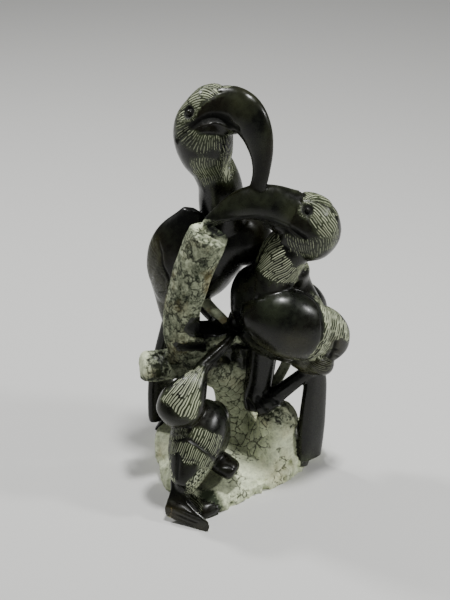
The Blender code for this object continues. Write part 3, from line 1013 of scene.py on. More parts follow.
class SecondBird(Part):
    """The bird at the right, leaning left with its beak laid on the broken tree."""

    def __init__(self) -> None:
        """Draws the bird's forms and its carving."""
        super().__init__(Owner.SECOND)
        self.forms = [
            Form("second_body", ((-2, 10, 185, 17, 24), (12, 10, 182, 25, 31), (36, 9, 168, 30, 36),
                (60, 8, 155, 31, 34), (80, 8, 139, 24, 25), (96, 7, 124, 13, 14)), side=SECOND_SIDE,
                caps=(12, 10)),
            Form("second_back", ((55, 12, 237, 21, 17), (55, 17, 212, 18.5, 17.5), (69, 15, 186, 18, 15),
                (86, 9, 160, 15, 14)), side=SECOND_SIDE, caps=(10, 10)),
            Form("second_rump", ((58, 4, 142, 22, 20), (78, 4, 129, 20, 19), (94, 5, 118, 14, 13)),
                side=SECOND_SIDE, caps=(10, 10)),
            Form("second_neck", ((60, 8, 260, 20), (47, 6, 250, 24), (38, 5, 231, 23), (28, 6, 210, 26),
                (20, 8, 190, 28), (18, 10, 174, 24))),
            Form("second_head", ((42, 4, 290, 18, 25), (58, 6, 282, 25, 34), (74, 7, 273, 26, 34),
                (87, 7, 268, 22, 27), (100, 7, 264, 13, 18)), caps=(8, 14)),
            Form("second_beak", ((48, 5, 294, 18, 25), (30, 1, 305, 15, 20), (11, -2, 307.5, 12.5, 17),
                (-6, -4, 302.5, 10, 13), (-20, -6, 295, 7.5, 8.5), (-33, -7, 285, 4, 4.5),
                (-37, -7, 281, 2, 2.5)), ridge=0.2),
            ball("second_breast", (16, 10, 197), (24, 24, 34)),
            ball("second_breast", (-1, 14, 167), (9, 9, 13)),
            Form("second_tail", ((80, 6, 132, 10, 9), (80, 5, 114, 11, 8), (80.5, 3, 92, 14, 7),
                (79, 1, 62, 16, 7), (78, 0, 32, 16, 7), (77, 0, 5, 14, 7)), side=(0.8, 0.6, 0.0), power=3.0),
            Form("second_leg", ((76, 0, 115, 8), (69, 0, 110, 7.5), (49, -2, 93, 8.5), (33, -4, 80, 9.5),
                (20, -4, 70, 10))),
            Form("second_foot", ((53, 20, 116, 5.5), (46, 18, 100, 5.5), (37, 14, 86, 6), (27, 10, 76, 7))),
            Form("second_thigh", ((26, 8, 144, 16), (25, 8, 122, 15), (23, 8, 100, 14), (19, 4, 82, 13),
                (17, 0, 66, 10))),
        ]
        for form in (
            Form("second_wing", ((4, -8, 180, 8, 10), (18, -13, 184, 20, 25), (42, -17, 183, 26, 35),
                (64, -15, 172, 25, 34), (80, -10, 160, 18, 27), (90, -6, 152, 9, 17)), side=SECOND_SIDE,
                caps=(10, 7)),
            Form("second_covert", ((68, -8, 188, 13, 15), (81, -8, 173, 17, 23), (92.5, -4, 156, 15, 23),
                (99.5, -1, 138, 10, 15), (102.5, 1, 133, 6, 9)), side=SECOND_SIDE, caps=(10, 7)),
            Form("second_edge", ((70, -8, 138, 14, 12), (84, -6, 128, 15, 13), (89, 0, 123, 10, 11),
                (92, 2, 120, 5, 6)), side=SECOND_SIDE, caps=(10, 7)),
        ):
            self.forms += [form, form.mirrored(SECOND_WINGS)]
        head = ("second_head", "second_beak", "second_neck")
        wing = ("second_wing", "second_covert", "second_edge", "second_body", "second_rump", "second_back")
        neck = ("second_neck", "second_breast", "second_head", "second_back", "second_body")
        self.cuts = [
            Cut(2.2, 2.6, ((-31, -12, 282), (-16, -14, 290), (6, -16, 297), (28, -16, 295), (47, -16, 288),
                (64, -19, 278)), SECOND_FACE),
            Drawn(head, 1.5, -1.2, ((206, 222), (222, 219), (240, 218), (256, 217), (272, 220), (290, 228),
                (306, 239)), SECOND_FACE),
            Drawn(head, 2.0, 1.2, ((272, 227), (282, 228), (292, 235), (300, 244)), SECOND_FACE),
            Drawn(head, 1.6, 1.0, ((299, 194), (303, 206), (309, 220), (317, 233)), SECOND_FACE),
            Cut(2.2, 2.4, ((60, -9, 214), (76, -12, 205), (83, -26, 192), (84, -31, 176), (80, -31, 158),
                (68, -25, 143), (53, -12, 131)), SECOND_WINGS),
            Cut(2.0, 2.2, ((83, -30, 164), (95, -19, 151), (104, -6, 148)), SECOND_WINGS),
            Cut(2.0, 2.2, ((98, -18, 160), (93, -14, 139)), SECOND_WINGS),
            Drawn(("second_breast", "second_body", "second_neck"), 2.0, -1.6, ((259, 276), (257, 290),
                (255, 304), (250, 316))),
            Drawn(wing, 1.5, 1.0, ((327, 351), (337, 356), (343, 357)), SECOND_WINGS),
            Drawn(wing, 1.4, 0.8, ((318, 357), (328, 360), (337, 358)), SECOND_WINGS),
            Drawn(wing, 1.6, 1.2, ((300, 292), (314, 297), (322, 308)), SECOND_WINGS),
            Eye((66, -12, 305), SECOND_FACE),
            # the toes, and the light ridge of the near one
            Cut(2.2, 2.2, ((11, -6, 81), (19, -12, 71))),
            Cut(2.2, 2.2, ((21, -8, 86), (29, -13, 74))),
            Cut(2.2, 2.2, ((29, -7, 90), (40, -12, 83))),
            Drawn(("second_leg", "knob", "second_thigh"), 1.5, -1.6, ((263, 415), (271, 408), (280, 403),
                (288, 399))),
            Drawn(("second_leg",), 1.4, -1.2, ((272, 398), (286, 388), (300, 377))),
        ]
        self.patches = [
            Patch(("second_head", "second_neck"), ((298, 193), (306, 188), (322, 194), (336, 207), (344, 224),
                (340, 236), (330, 240), (320, 237), (313, 226), (308, 214), (303, 203)), (66, 6, 268),
                (0.5, -0.05, -0.87), Flow.ALONG, 0.42, 0.62, pitch=2.8, length=21, plane=SECOND_FACE),
            Patch(("second_head", "second_neck", "second_beak"), ((285, 233), (300, 239), (314, 239),
                (328, 237), (338, 237), (336, 246), (325, 252), (312, 257), (299, 256), (289, 250)),
                (72, 7, 250), (0.12, 0.0, -1), Flow.ALONG, 0.24, 0.65, pitch=2.6, length=11,
                plane=SECOND_FACE),
            Patch(neck, ((255, 262), (258, 250), (266, 241), (275, 231), (282, 229), (280, 240), (284, 252),
                (291, 263), (300, 272), (296, 281), (284, 283), (272, 281), (263, 275)), (45, 6, 240),
                (0.8, -0.1, 0.66), Flow.ALONG, 0.4, 1.0, pitch=2.7, length=26, plane=SECOND_FACE),
            Patch(neck, ((294, 270), (304, 264), (312, 268), (314, 288), (318, 299), (306, 296), (300, 292),
                (294, 286)), (45, 6, 240), (0.6, -0.1, 0.8), Flow.ALONG, 0.66, 0.72, length=10,
                plane=SECOND_FACE),
            Patch(("second_head",), (), (66, -12, 305), (0, -1, 0.2), Flow.FAN, 0.35, 0.45, pitch=1.7,
                length=6, ring=(6.0, 9.0), plane=SECOND_FACE),
            Patch(wing, ((312, 294), (322, 298), (336, 310), (347, 326), (350, 342), (340, 338), (334, 341),
                (330, 350), (322, 358), (310, 362), (306, 358), (316, 350), (322, 340), (324, 322),
                (321, 306)), (62, 12, 165), (0.5, 0.1, 0.95), Flow.ALONG, 0.52, 0.78, pitch=2.6, length=12,
                plane=SECOND_WINGS),
            Patch(wing, ((294, 358), (312, 362), (326, 358), (336, 362), (328, 372), (306, 372)),
                (80, -6, 132), (0.9, 0.1, -0.4), Flow.ALONG, 0.2, 0.35, pitch=2.0, length=18,
                plane=SECOND_WINGS),
        ]
        self.tints = [
            Tint(wing, ((328, 338), (338, 334), (350, 340), (346, 360), (334, 360), (328, 350)), polish=0.9,
                tone=0.2, brown=0.8, soft=2.5, plane=SECOND_WINGS),
            Tint(wing, ((284, 358), (312, 360), (332, 356), (342, 360), (330, 376), (296, 376)), polish=0.9,
                tone=0.5, brown=0.9, soft=3.0, plane=SECOND_WINGS),
            Tint(wing, ((324, 300), (334, 304), (341, 316), (338, 322), (330, 318), (322, 308)), tone=0.05,
                soft=3.0, plane=SECOND_WINGS),
            Tint(("second_wing",), ((240, 335), (320, 335), (316, 360), (260, 360)), tone=0.2, brown=0.5,
                soft=9.0, plane=SECOND_WINGS),
            Tint(("second_wing",), ((254, 298), (300, 292), (310, 312), (262, 322)), tone=0.3, brown=0.0,
                soft=8.0, plane=SECOND_WINGS),
            Tint(("second_beak",), ((210, 214), (240, 190), (300, 190), (300, 226), (240, 214)), tone=0.3,
                soft=6.0, plane=SECOND_FACE),
            Tint(("second_foot",), ((262, 360), (296, 360), (290, 392), (262, 392)), polish=0.3, tone=0.4,
                soft=2.0),
            # painted highlight: a small bright spot at the tail's tip
            Tint(("second_tail",), ((300, 455), (313, 452), (313, 466), (300, 466)), tone=0.9, soft=2.0),
        ]


YOUNG_SIDE: Point = (0.916, -0.40, 0.0)  # to the young bird's right
YOUNG_BACK = Plane((-39, -50, 72), (-0.916, 0.40, 0.0))


class YoungBird(Part):
    """The young bird on the rock, its back to the front and its head thrown back to beg."""

    def __init__(self) -> None:
        """Draws the bird's forms and its carving."""
        super().__init__(Owner.YOUNG)
        wing = Form("young_wing", ((-26, -30, 84, 6, 10), (-21, -36, 74, 12, 22), (-23, -50, 64, 13, 24),
            (-32, -65, 50, 7.5, 19), (-43, -77, 36, 5, 12), (-52, -86, 26, 4, 7)), side=YOUNG_SIDE,
            caps=(8, 6))
        self.forms = [
            Form("young_body", ((-28, -22, 90, 12, 12), (-32, -34, 84, 24, 24), (-39, -50, 72, 28, 28),
                (-46, -64, 58, 26, 24), (-52, -76, 42, 19, 17), (-57, -85, 28, 11, 11)), side=YOUNG_SIDE,
                caps=(12, 8)),
            wing,
            wing.mirrored(YOUNG_BACK),
            Form("young_belly", ((-26, -24, 60, 18, 18), (-34, -38, 48, 19, 23), (-43, -54, 36, 16, 20),
                (-51, -70, 26, 12, 15), (-57, -82, 18, 10, 10)), side=YOUNG_SIDE, caps=(10, 8)),
            ball("young_shoulder", (-22, -35, 74), (14, 17, 24)),
            Form("young_tail", ((-59, -74, 26, 11, 10), (-60, -80, 16, 9, 8), (-57, -88, 9, 15, 7),
                (-51, -101, 0.5, 25.5, 7.5)), side=(0.915, -0.383, -0.128), up=(0.0, 0.1, 1.0), power=6.0),
            Form("young_neck", ((-60, -50, 96, 15), (-50, -44, 84, 20), (-42, -44, 76, 20))),
            Form("young_head", ((-68, -60, 86, 12, 12), (-63, -56, 96, 22, 20), (-55, -50, 109, 24, 22),
                (-46, -43, 123, 17, 16), (-38, -34, 134, 9, 9)), side=YOUNG_SIDE, caps=(12, 0)),
            Form("young_beak", ((-42, -38, 129, 10, 10), (-33, -28, 140, 7, 7), (-21, -17, 147, 6, 6.5),
                (-10, -6, 153, 4.5, 5), (-3, 4, 157, 2.5, 3)), side=YOUNG_SIDE),
            Form("young_tongue", ((-30, -42, 40, 12, 10), (-16, -50, 33, 13.5, 10.5), (0, -57, 25, 13, 9.5)),
                side=(0.3, 0.95, 0.0), caps=(4, 8)),
        ]
        back = ("young_body", "young_wing", "young_shoulder", "young_belly", "young_neck")
        right = ("young_body", "young_wing", "young_shoulder", "young_belly")
        head = ("young_head", "young_beak", "young_neck")
        self.cuts = [
            Cut(2.0, 2.2, ((-48, -77, 82), (-36, -80, 76), (-23, -76, 61)), YOUNG_BACK),
            Cut(1.8, 2.0, ((-52, -73, 84), (-58, -80, 66), (-60, -88, 44))),
            Cut(2.2, 2.4, ((-28, -81, 56), (-40, -88, 41), (-56, -87, 22)), YOUNG_BACK),
            Cut(2.2, 2.4, ((-57, -22, 157), (-43, -17, 153), (-30, -4, 149))),
            Eye((-38, -30, 112), YOUNG_BACK),
            Drawn(head, 1.4, -1.0, ((208, 359), (216, 352), (224, 345), (229, 340))),
            Drawn(head, 1.6, 1.4, ((204, 364), (212, 362), (220, 356), (226, 348))),
            Drawn(head, 1.8, 1.6, ((161, 423), (168, 429), (178, 430), (188, 427), (195, 419))),
            Drawn(back, 1.8, 1.8, ((162, 437), (170, 439), (179, 437), (188, 438))),
            Drawn(back, 1.6, 1.6, ((189, 438), (198, 444), (207, 451), (216, 457))),
            Drawn(back, 1.4, 1.2, ((165, 453), (172, 452), (178, 452))),
            Drawn(back, 1.4, 1.3, ((180, 453), (184, 460), (193, 461), (201, 466))),
            Drawn(back, 1.4, 1.2, ((203, 464), (196, 474), (188, 484), (181, 495))),
            Drawn(("young_tail", "young_body"), 1.5, 1.6, ((182, 496), (190, 503), (199, 511), (206, 517))),
            Drawn(("young_tail", "young_body"), 1.3, 1.0, ((171, 500), (180, 502), (188, 508), (196, 516))),
            Drawn(("young_tail",), 0.9, 0.7, ((170, 507), (184, 513), (198, 519), (207, 522))),
            Drawn(("young_tail",), 0.9, 0.8, ((167, 510), (181, 516), (195, 522), (207, 525))),
            Drawn(("young_tail",), 0.9, 0.7, ((167, 514), (181, 520), (195, 526), (207, 528))),
            Drawn(("young_tail",), 0.9, 0.7, ((169, 518), (183, 524), (197, 529), (206, 531))),
            Drawn(("young_tongue",), 1.5, 1.2, ((218, 470), (226, 466), (236, 470))),
        ]
        self.patches = [
            Patch(head, ((201, 365), (192, 371), (181, 379), (170, 389), (161, 399), (168, 405), (175, 412),
                (182, 417), (191, 418), (198, 414), (200, 400), (202, 385), (203, 372)), (-30, -24, 148),
                (-0.49, -0.42, -0.77), Flow.FAN, 0.46, 0.8, pitch=2.7, length=30),
            Patch(back + head, ((161, 424), (170, 430), (180, 431), (187, 428), (186, 437), (175, 438),
                (163, 436)), (-45, -50, 90), (-0.3, -0.5, -0.8), Flow.ALONG, 0.3, 0.45, length=10, soft=1.4),
            Patch(right, ((189, 437), (194, 428), (203, 429), (213, 434), (223, 436), (221, 447), (216, 457),
                (204, 449)), (-33, -32, 66), (0.40, 0.48, 0.80), Flow.ALONG, 0.32, 0.7, pitch=2.5, length=30,
                plane=YOUNG_BACK, soft=1.4),
            Patch(right, ((164, 442), (178, 441), (189, 443), (201, 452), (214, 461), (213, 467), (205, 470),
                (196, 464), (184, 463), (180, 453), (165, 455)), (-33, -32, 66), (0.40, 0.48, 0.80),
                Flow.ALONG, 0.38, 0.65, pitch=2.2, length=30, soft=1.4),
            Patch(right, ((204, 463), (213, 464), (210, 475), (201, 486), (191, 493), (183, 499), (180, 494),
                (187, 484), (195, 474)), (-33, -32, 66), (0.40, 0.48, 0.80), Flow.ALONG, 1.4, 1.0, pitch=3.6,
                length=8.5, plane=YOUNG_BACK, soft=1.4),
            Patch(("young_tail", "young_body", "young_belly"), ((184, 495), (196, 490), (202, 498),
                (202, 512), (192, 503)), (-54, -90, 40), (0.5, -0.3, -0.7), Flow.ALONG, 0.35, 0.35, pitch=1.7,
                length=10),
        ]
        self.tints = [
            Tint(("young_tail",), ((162, 504), (180, 510), (198, 520), (210, 520), (210, 532), (188, 528),
                (168, 518)), polish=0.6, tone=0.17, brown=0.8, soft=1.5),
            Tint(("young_head",), ((156, 404), (176, 414), (200, 414), (200, 432), (160, 430)), tone=0.2,
                brown=0.3, soft=4.0),
        ]


class Rock(Part):
    """The mound, drawn in ring by ring from its footprint to the foot of the tree, and its knob."""

    # The outline, as shares of half its width and half its depth, from the left round the front
    OUTLINE = (
        (-1.0, 0.58), (-0.98, 0.2), (-0.86, -0.3), (-0.65, -0.66), (-0.4, -0.95), (-0.2, -0.88),
        (0.12, -0.62), (0.5, -0.34), (0.84, -0.02), (1.0, 0.34), (0.95, 0.7), (0.6, 0.94), (0.05, 1.0),
        (-0.55, 0.96), (-0.88, 0.84),
    )
    MIDDLE = (-4.0, -10.0)
    PEAK = (-2.0, 30.0)
    # How far each ring has drawn in from the outline to the peak, and how high it stands
    RINGS = ((0.0, -16), (0.0, -1), (0.06, 4), (0.3, 10), (0.6, 18), (0.85, 25), (0.98, 27))
    BACK_RISE = 0.13

    def __init__(self) -> None:
        """Draws the knob and its foot. The mound has a surface of its own."""
        super().__init__(Owner.ROCK)
        self.forms = [
            ball("knob", (42, 2, 50), (22, 21, 24)),
            Form("knob", ((42, 3, 48, 20), (40, 5, 32, 25), (36, 8, 12, 34), (36, 8, 4, 36))),
        ]
        self.cuts = [
            Drawn(("knob", "second_leg"), 1.6, 1.4, ((262, 416), (272, 422), (285, 424), (297, 419))),
            Drawn(("knob",), 1.5, 1.0, ((282, 404), (290, 410), (297, 418))),
        ]
        self.tints = [
            Tint(("knob",), ((262, 400), (286, 398), (300, 416), (296, 430), (270, 428), (258, 416)),
                polish=0.42, tone=0.55, soft=6.0),
            Tint(("knob",), ((258, 420), (268, 424), (272, 436), (262, 432)), polish=0.1, tone=0.95,
                brown=0.55, soft=2.5),
            Tint(("knob", "mound"), ((294, 424), (304, 430), (306, 456), (296, 444)), polish=0.6, tone=0.1,
                soft=3.0),
            Tint(("mound",), ((188, 520), (202, 517), (210, 521), (212, 536), (184, 534)), polish=0.9,
                tone=0.25, brown=0.7, soft=2.0),
            # partly dark stone and partly painted shade on the mound's side under the young bird's tail
            Tint(("mound",), ((196, 486), (212, 488), (222, 500), (224, 516), (204, 514)), polish=0.1,
                tone=-0.1, soft=4.0),
        ]

    def footprint(self) -> Array:
        """The outline's places on the ground.

        Returns:
            Rows of x and y.
        """
        drawn = np.array(self.OUTLINE + self.OUTLINE[:1])
        half = np.array((ROCK_WIDTH, ROCK_DEPTH)) / 2 / SHARE
        return np.array(self.MIDDLE) + eased(drawn)[:-1] * half

    def mound(self) -> tuple[Array, Array]:
        """The mound's surface: the footprint drawn in towards the peak while it rises.

        Returns:
            Places, and triangles as rows of three.
        """
        foot = self.footprint()
        shares = np.array(self.RINGS, float)
        drawn_in, height = shares[:, :1], shares[:, 1:]
        flat = foot[None] + (np.array(self.PEAK) - foot)[None] * drawn_in[:, :, None]
        rise = self.BACK_RISE * (foot[:, 1] - foot[:, 1].min())[None] * (1 - drawn_in) * (height > -10)
        return closed_grid(np.concatenate((flat, (height + rise)[:, :, None]), axis=2))

    def from_rim(self, places: Array) -> Array:
        """How far places lie inside the footprint.

        Args:
            places: Rows of pattern places.

        Returns:
            Distances across the ground.
        """
        foot = self.footprint()
        away, _ = distance_to_path(places[:, :2], np.vstack((foot, foot[:1])))
        return away


@dataclass(frozen=True)
class Hatching:
    """The chiselled strokes at each place of the stone."""

    place: Array
    kind: Array
    mask: Array
    wander: Array
    tone: Array


@dataclass(frozen=True)
class Dressing:
    """What the finish reads at each place of the stone."""

    polish: Array
    tone: Array
    brown: Array
    joint: Array
    cell: Array
    dull_and_shaded: Array
    hatching: Hatching


@dataclass
class Carving:
    """The whole carving, in one block of stone."""

    tree: Tree = field(default_factory=Tree)
    rock: Rock = field(default_factory=Rock)
    birds: tuple[Part, ...] = field(default_factory=lambda: (FirstBird(), SecondBird(), YoungBird()))
    columns: dict[Patch, float] = field(default_factory=dict)

    def parts(self) -> tuple[Part, ...]:
        """All parts, the raw stone first.

        Returns:
            The parts.
        """
        return (self.rock, self.tree, *self.birds)

    def rough_out(self) -> Mesh:
        """Joins every form's surface into one mesh, melts them together and cuts the underside flat.

        Returns:
            The mesh, before any fine carving.
        """
        surfaces = [self.rock.mound()]
        surfaces += [form.surface() for part in self.parts() for form in part.forms]
        starts = np.cumsum([0] + [len(places) for places, _ in surfaces])
        places = to_metres(np.vstack([places for places, _ in surfaces]))
        faces = np.vstack([faces + start for (_, faces), start in zip(surfaces, starts)])
        mesh = bpy.data.meshes.new("rough_block")
        mesh.from_pydata(places.tolist(), [], faces.tolist())
        mesh = applied(mesh, "REMESH", mode="VOXEL", voxel_size=GRAIN)
        return applied(mesh, "SMOOTH", factor=0.5, iterations=MELT)

    def survey(self, mesh: Mesh) -> tuple[Spots, Array]:
        """Finds which form each vertex belongs to.

        Args:
            mesh: The mesh.

        Returns:
            Its vertices as spots, and how much each belongs to a bird.
        """
        places = to_pattern(read_vectors(mesh, "co"))
        raw = np.where(places[:, 2] < ROCK_TOP, 0.9, FAR)
        polished = np.full(len(places), FAR)
        least = raw.copy()
        nearest = np.zeros(len(places), np.int64)
        titles = ["mound"]
        for part in self.parts():
            depth, number = part.depth(places)
            nearest = np.where(depth < least, number + len(titles), nearest)
            least = np.minimum(least, depth)
            titles += [form.name for form in part.forms]
            if part.owner in (Owner.ROCK, Owner.TREE):
                raw = np.minimum(raw, depth)
            else:
                polished = np.minimum(polished, depth)
        spots = Spots(places, read_vectors(mesh, "normal"), nearest, tuple(titles))
        return spots, smooth_step(-0.7, 0.7, raw - polished)

    def bark_share(self, spots: Spots) -> Array:
        """How much each place is bark rather than flagged rock: all of the trunk but its foot.

        Args:
            spots: The places.

        Returns:
            Numbers from 0 to 1.
        """
        wooden = spots.on(tuple(form.name for form in self.tree.forms))
        return wooden * smooth_step(92, 116, spots.places[:, 2] + 5 * noise(spots.places, 12, 9.0))

    def joints(self, places: Array, raw: NDArray[np.bool_], bark: Array) -> tuple[Array, Array]:
        """The joints cut between the rock's flags and between the plates of bark.

        Both are cell patterns bent by soft noise, with cells longer up the trunk. Joints fade where
        the rock has been left smooth.

        Args:
            places: Rows of pattern places.
            raw: Which places are left chiselled.
            bark: How much each place is bark.

        Returns:
            Distances from the nearest joint in pattern units, and each cell's own number.
        """
        distance = np.full(len(places), SEAMLESS)
        own = np.full(len(places), 0.5)
        flags = (raw & (bark <= 0.5), FLAG_SIZE, 1.5, 1.0)
        plates = (raw & (bark > 0.5), PLATE_SIZE, 2.2, 2.0)
        for chosen, size, bent, seed in (flags, plates):
            here = places[chosen]
            bend = np.stack([noise(here, 5.0, 20.0 + i) for i in range(3)], axis=1)
            away, own[chosen] = crackle((here + bent * bend) / np.array(size), seed)
            distance[chosen] = away * size[0]
        far = smooth_step(34, 62, np.linalg.norm(places[:, :2] - FLAGS_AROUND, axis=1)) * (1 - bark)
        worn = np.where(bark > 0.5, 0.6 * smooth_step(-0.1, 0.4, noise(places, 8.0, 31.0)),
                        far * smooth_step(-0.45, 0.25, noise(places, 24.0, 31.0)))
        return distance + 1.5 * worn, own + 0.6 * bark * (own - 0.5)

    def cut_dullness_and_shade(self, spots: Spots) -> Array:
        """How much each place lies in a cut, where the polishing cloth doesn't reach and the waxed stone is
        given painted shade.

        Args:
            spots: The places.

        Returns:
            Numbers from 0 to 1.
        """
        deepest = np.zeros(len(spots.places))
        for part in self.parts():
            for cut in part.cuts:
                deepest = np.maximum(deepest, cut.relief(spots))
        return smooth_step(0.25, 1.3, deepest)

    def hatching(self, spots: Spots) -> Hatching:
        """Lays every patch of strokes on the stone. Where two meet, the stronger one holds.

        Args:
            spots: The places.

        Returns:
            The strokes.
        """
        total = len(spots.places)
        place, kind = np.zeros((total, 3)), np.tile((64.0, 10.0, 0.5), (total, 1))
        mask, tone = np.zeros(total), np.zeros(total)
        for part in self.parts():
            for patch in part.patches:
                here = patch.mask(spots)
                over = here > np.maximum(mask, 0.001)
                rows = patch.strokes(spots)[over]
                if patch not in self.columns:
                    reach = float(np.median(np.hypot(rows[:, 0], rows[:, 1]))) if len(rows) else 1.0
                    self.columns[patch] = max(3.0, round(2 * math.pi * reach / patch.pitch))
                place[over] = rows
                kind[over] = (self.columns[patch], patch.length, patch.cover)
                tone[over] = patch.tone
                mask = np.maximum(mask, here)
            for cut in part.cuts:
                if isinstance(cut, Eye):
                    mask *= cut.clear(spots)
        wander = 0.9 * noise(spots.places, 17.0, 80.0) + 0.22 * noise(spots.places, 6.0, 81.0)
        return Hatching(place, kind, mask, wander, tone)

    def carve(self, mesh: Mesh) -> None:
        """Presses the fine carving and the stone's roughness into the surface, along its normals.

        Args:
            mesh: The melted block.
        """
        spots, bird = self.survey(mesh)
        places = spots.places
        depth = np.zeros(len(places))
        for part in self.parts():
            for cut in part.cuts:
                one = cut.relief(spots)
                deeper = np.where(np.abs(one) > np.abs(depth), one, depth)
                depth = depth + one if isinstance(cut, Eye) else deeper
        hatching = self.hatching(spots)
        depth += STROKE_DEPTH * stroke_depth(hatching.place, hatching.kind, hatching.wander, hatching.mask)
        bark = self.bark_share(spots)
        joint, own = self.joints(places, bird < 0.99, bark)
        raw = 1 - bird
        cut_joint = 1 - smooth_step(0.0, 1.1, joint)
        depth += raw * np.where(bark > 0.5, 0.35, 0.6) * cut_joint
        depth += raw * (0.35 * (own - 0.5) + 0.6 * rough(places, 9.0, 40.0))
        mound = spots.on(("mound",)) & (places[:, 2] > -11)
        rim = np.zeros(len(places))
        rim[mound] = smooth_step(12.0, 2.0, self.rock.from_rim(places[mound]))
        chips = smooth_step(-0.25, 0.35, rough(places, 13.0, 50.0))
        chips = chips + 0.6 * smooth_step(0.0, 0.5, noise(places, 5.5, 55.0))
        depth += rim * raw * 3.6 * chips
        depth += bird * 0.12 * noise(places, 16.0, 60.0)
        write_vectors(mesh, "co", to_metres(places - spots.normals * depth[:, None]))
        mesh.update()

    def dress(self, mesh: Mesh) -> Dressing:
        """Works out what the finish reads at each vertex of the finished mesh.

        Args:
            mesh: The carved and thinned mesh.

        Returns:
            The numbers.
        """
        spots, bird = self.survey(mesh)
        places, normals = spots.places, spots.normals
        bark = self.bark_share(spots)
        joint, own = self.joints(places, bird < 0.99, bark)
        low = smooth_step(120, 20, places[:, 2])
        polish = bird.copy()
        front = smooth_step(-20, 30, places[:, 0])
        chalk = noise(places, 7.0, 71.0) + 0.8 * noise(places, 3.2, 72.0)
        # the raw stone is paler low down and to the right, and darker on the bark: partly its own tone,
        # partly painted light on the rock's upturned top and painted shade on the upright trunk
        tone = np.where(bark > 0.5, 0.28 + 0.17 * chalk,
                        0.42 + 0.5 * low * (0.6 + 0.4 * front) + 0.06 * chalk)
        tone = np.where(bird > 0.5, 0.0, tone)
        brown = 0.15 + 0.25 * noise(places, 45.0, 70.0)
        for part in self.parts():
            for tint in part.tints:
                mask = tint.mask(spots)
                for values, wanted in ((polish, tint.polish), (tone, tint.tone), (brown, tint.brown)):
                    if wanted is not None:
                        values += (wanted - values) * mask
        hatching = self.hatching(spots)
        tone = np.where(hatching.mask > 0.1, hatching.tone, tone)
        under = smooth_step(0.2, 0.9, -normals[:, 2]) * (places[:, 2] < -7)
        return Dressing(polish * (1 - under), tone, brown, joint, own, self.cut_dullness_and_shade(spots), hatching)

    def build(self) -> Object:
        """Makes the finished piece.

        Returns:
            Its object, at the origin.
        """
        mesh = self.rough_out()
        log.info("Melted block: %d faces", len(mesh.polygons))
        self.carve(mesh)
        mesh = applied(mesh, "TRIANGULATE")
        mesh = applied(mesh, "DECIMATE", ratio=TRIANGLES / len(mesh.polygons))
        flatten_underside(mesh)
        mesh.shade_smooth()
        store(mesh, self.dress(mesh))
        mesh.name = "carved_stone"
        piece = bpy.data.objects.new("carved_stone", mesh)
        bpy.context.scene.collection.objects.link(piece)
        log.info("Carved stone: %d faces", len(mesh.polygons))
        return piece


ROCK_TOP = 46.0  # the mound reaches no higher than this
SEAMLESS = 6.0  # how far from a joint the waxed stone counts as being
STROKE_DEPTH = 0.32
FLAG_SIZE = (9.5, 9.5, 9.5)
PLATE_SIZE = (5.0, 5.0, 8.0)
FLAGS_AROUND = (10.0, 18.0)  # the flags are sharpest around this place, at the tree's foot


def applied(mesh: Mesh, kind: str, **settings: float | str) -> Mesh:
    """The mesh after one modifier.

    Args:
        mesh: The mesh, which is used up.
        kind: The modifier's type.
        **settings: The modifier's settings.

    Returns:
        The new mesh.
    """
    holder = bpy.data.objects.new("holder", mesh)
    bpy.context.scene.collection.objects.link(holder)
    modifier = holder.modifiers.new(kind.title(), kind)
    for name, value in settings.items():
        setattr(modifier, name, value)
    graph = bpy.context.evaluated_depsgraph_get()
    made = bpy.data.meshes.new_from_object(holder.evaluated_get(graph))
    bpy.data.objects.remove(holder)
    bpy.data.meshes.remove(mesh)
    return made


def flatten_underside(mesh: Mesh) -> None:
    """Cuts the block along the floor and closes it with one flat face.

    Args:
        mesh: The mesh to cut.
    """
    work = bmesh.new()
    work.from_mesh(mesh)
    everything = [*work.verts, *work.edges, *work.faces]
    made = bmesh.ops.bisect_plane(work, geom=everything, plane_co=(0, 0, 0), plane_no=(0, 0, 1),
                                  clear_inner=True)
    rim = [edge for edge in made["geom_cut"] if isinstance(edge, bmesh.types.BMEdge)]
    bmesh.ops.edgeloop_fill(work, edges=rim)
    bmesh.ops.recalc_face_normals(work, faces=work.faces)
    bmesh.ops.triangulate(work, faces=[face for face in work.faces if len(face.verts) > 4])
    work.to_mesh(mesh)
    work.free()


def read_vectors(mesh: Mesh, name: str) -> Array:
    """Reads one vector for each vertex.

    Args:
        mesh: The mesh.
        name: Which property.

    Returns:
        Rows of three.
    """
    flat = np.empty(len(mesh.vertices) * 3)
    mesh.vertices.foreach_get(name, flat)
    return flat.reshape(-1, 3)


def write_vectors(mesh: Mesh, name: str, rows: Array) -> None:
    """Writes one vector for each vertex.

    Args:
        mesh: The mesh.
        name: Which property.
        rows: Rows of three.
    """
    mesh.vertices.foreach_set(name, rows.ravel())


def store(mesh: Mesh, dressing: Dressing) -> None:
    """Puts the finish's numbers on the mesh, as attributes of its vertices.

    Args:
        mesh: The mesh.
        dressing: The numbers.
    """
    finish = np.stack((dressing.polish, dressing.tone, dressing.brown), axis=1)
    hatching = dressing.hatching
    joints = np.stack((dressing.joint, dressing.cell, hatching.mask), axis=1)
    for name, rows in (("finish", finish), ("joints", joints), ("stroke_place", hatching.place),
                       ("stroke_kind", hatching.kind)):
        attribute = mesh.attributes.new(name, "FLOAT_VECTOR", "POINT")
        attribute.data.foreach_set("vector", rows.ravel())
    for name, values in (("wander", hatching.wander), ("dull_and_shaded", dressing.dull_and_shaded)):
        mesh.attributes.new(name, "FLOAT", "POINT").data.foreach_set("value", values)


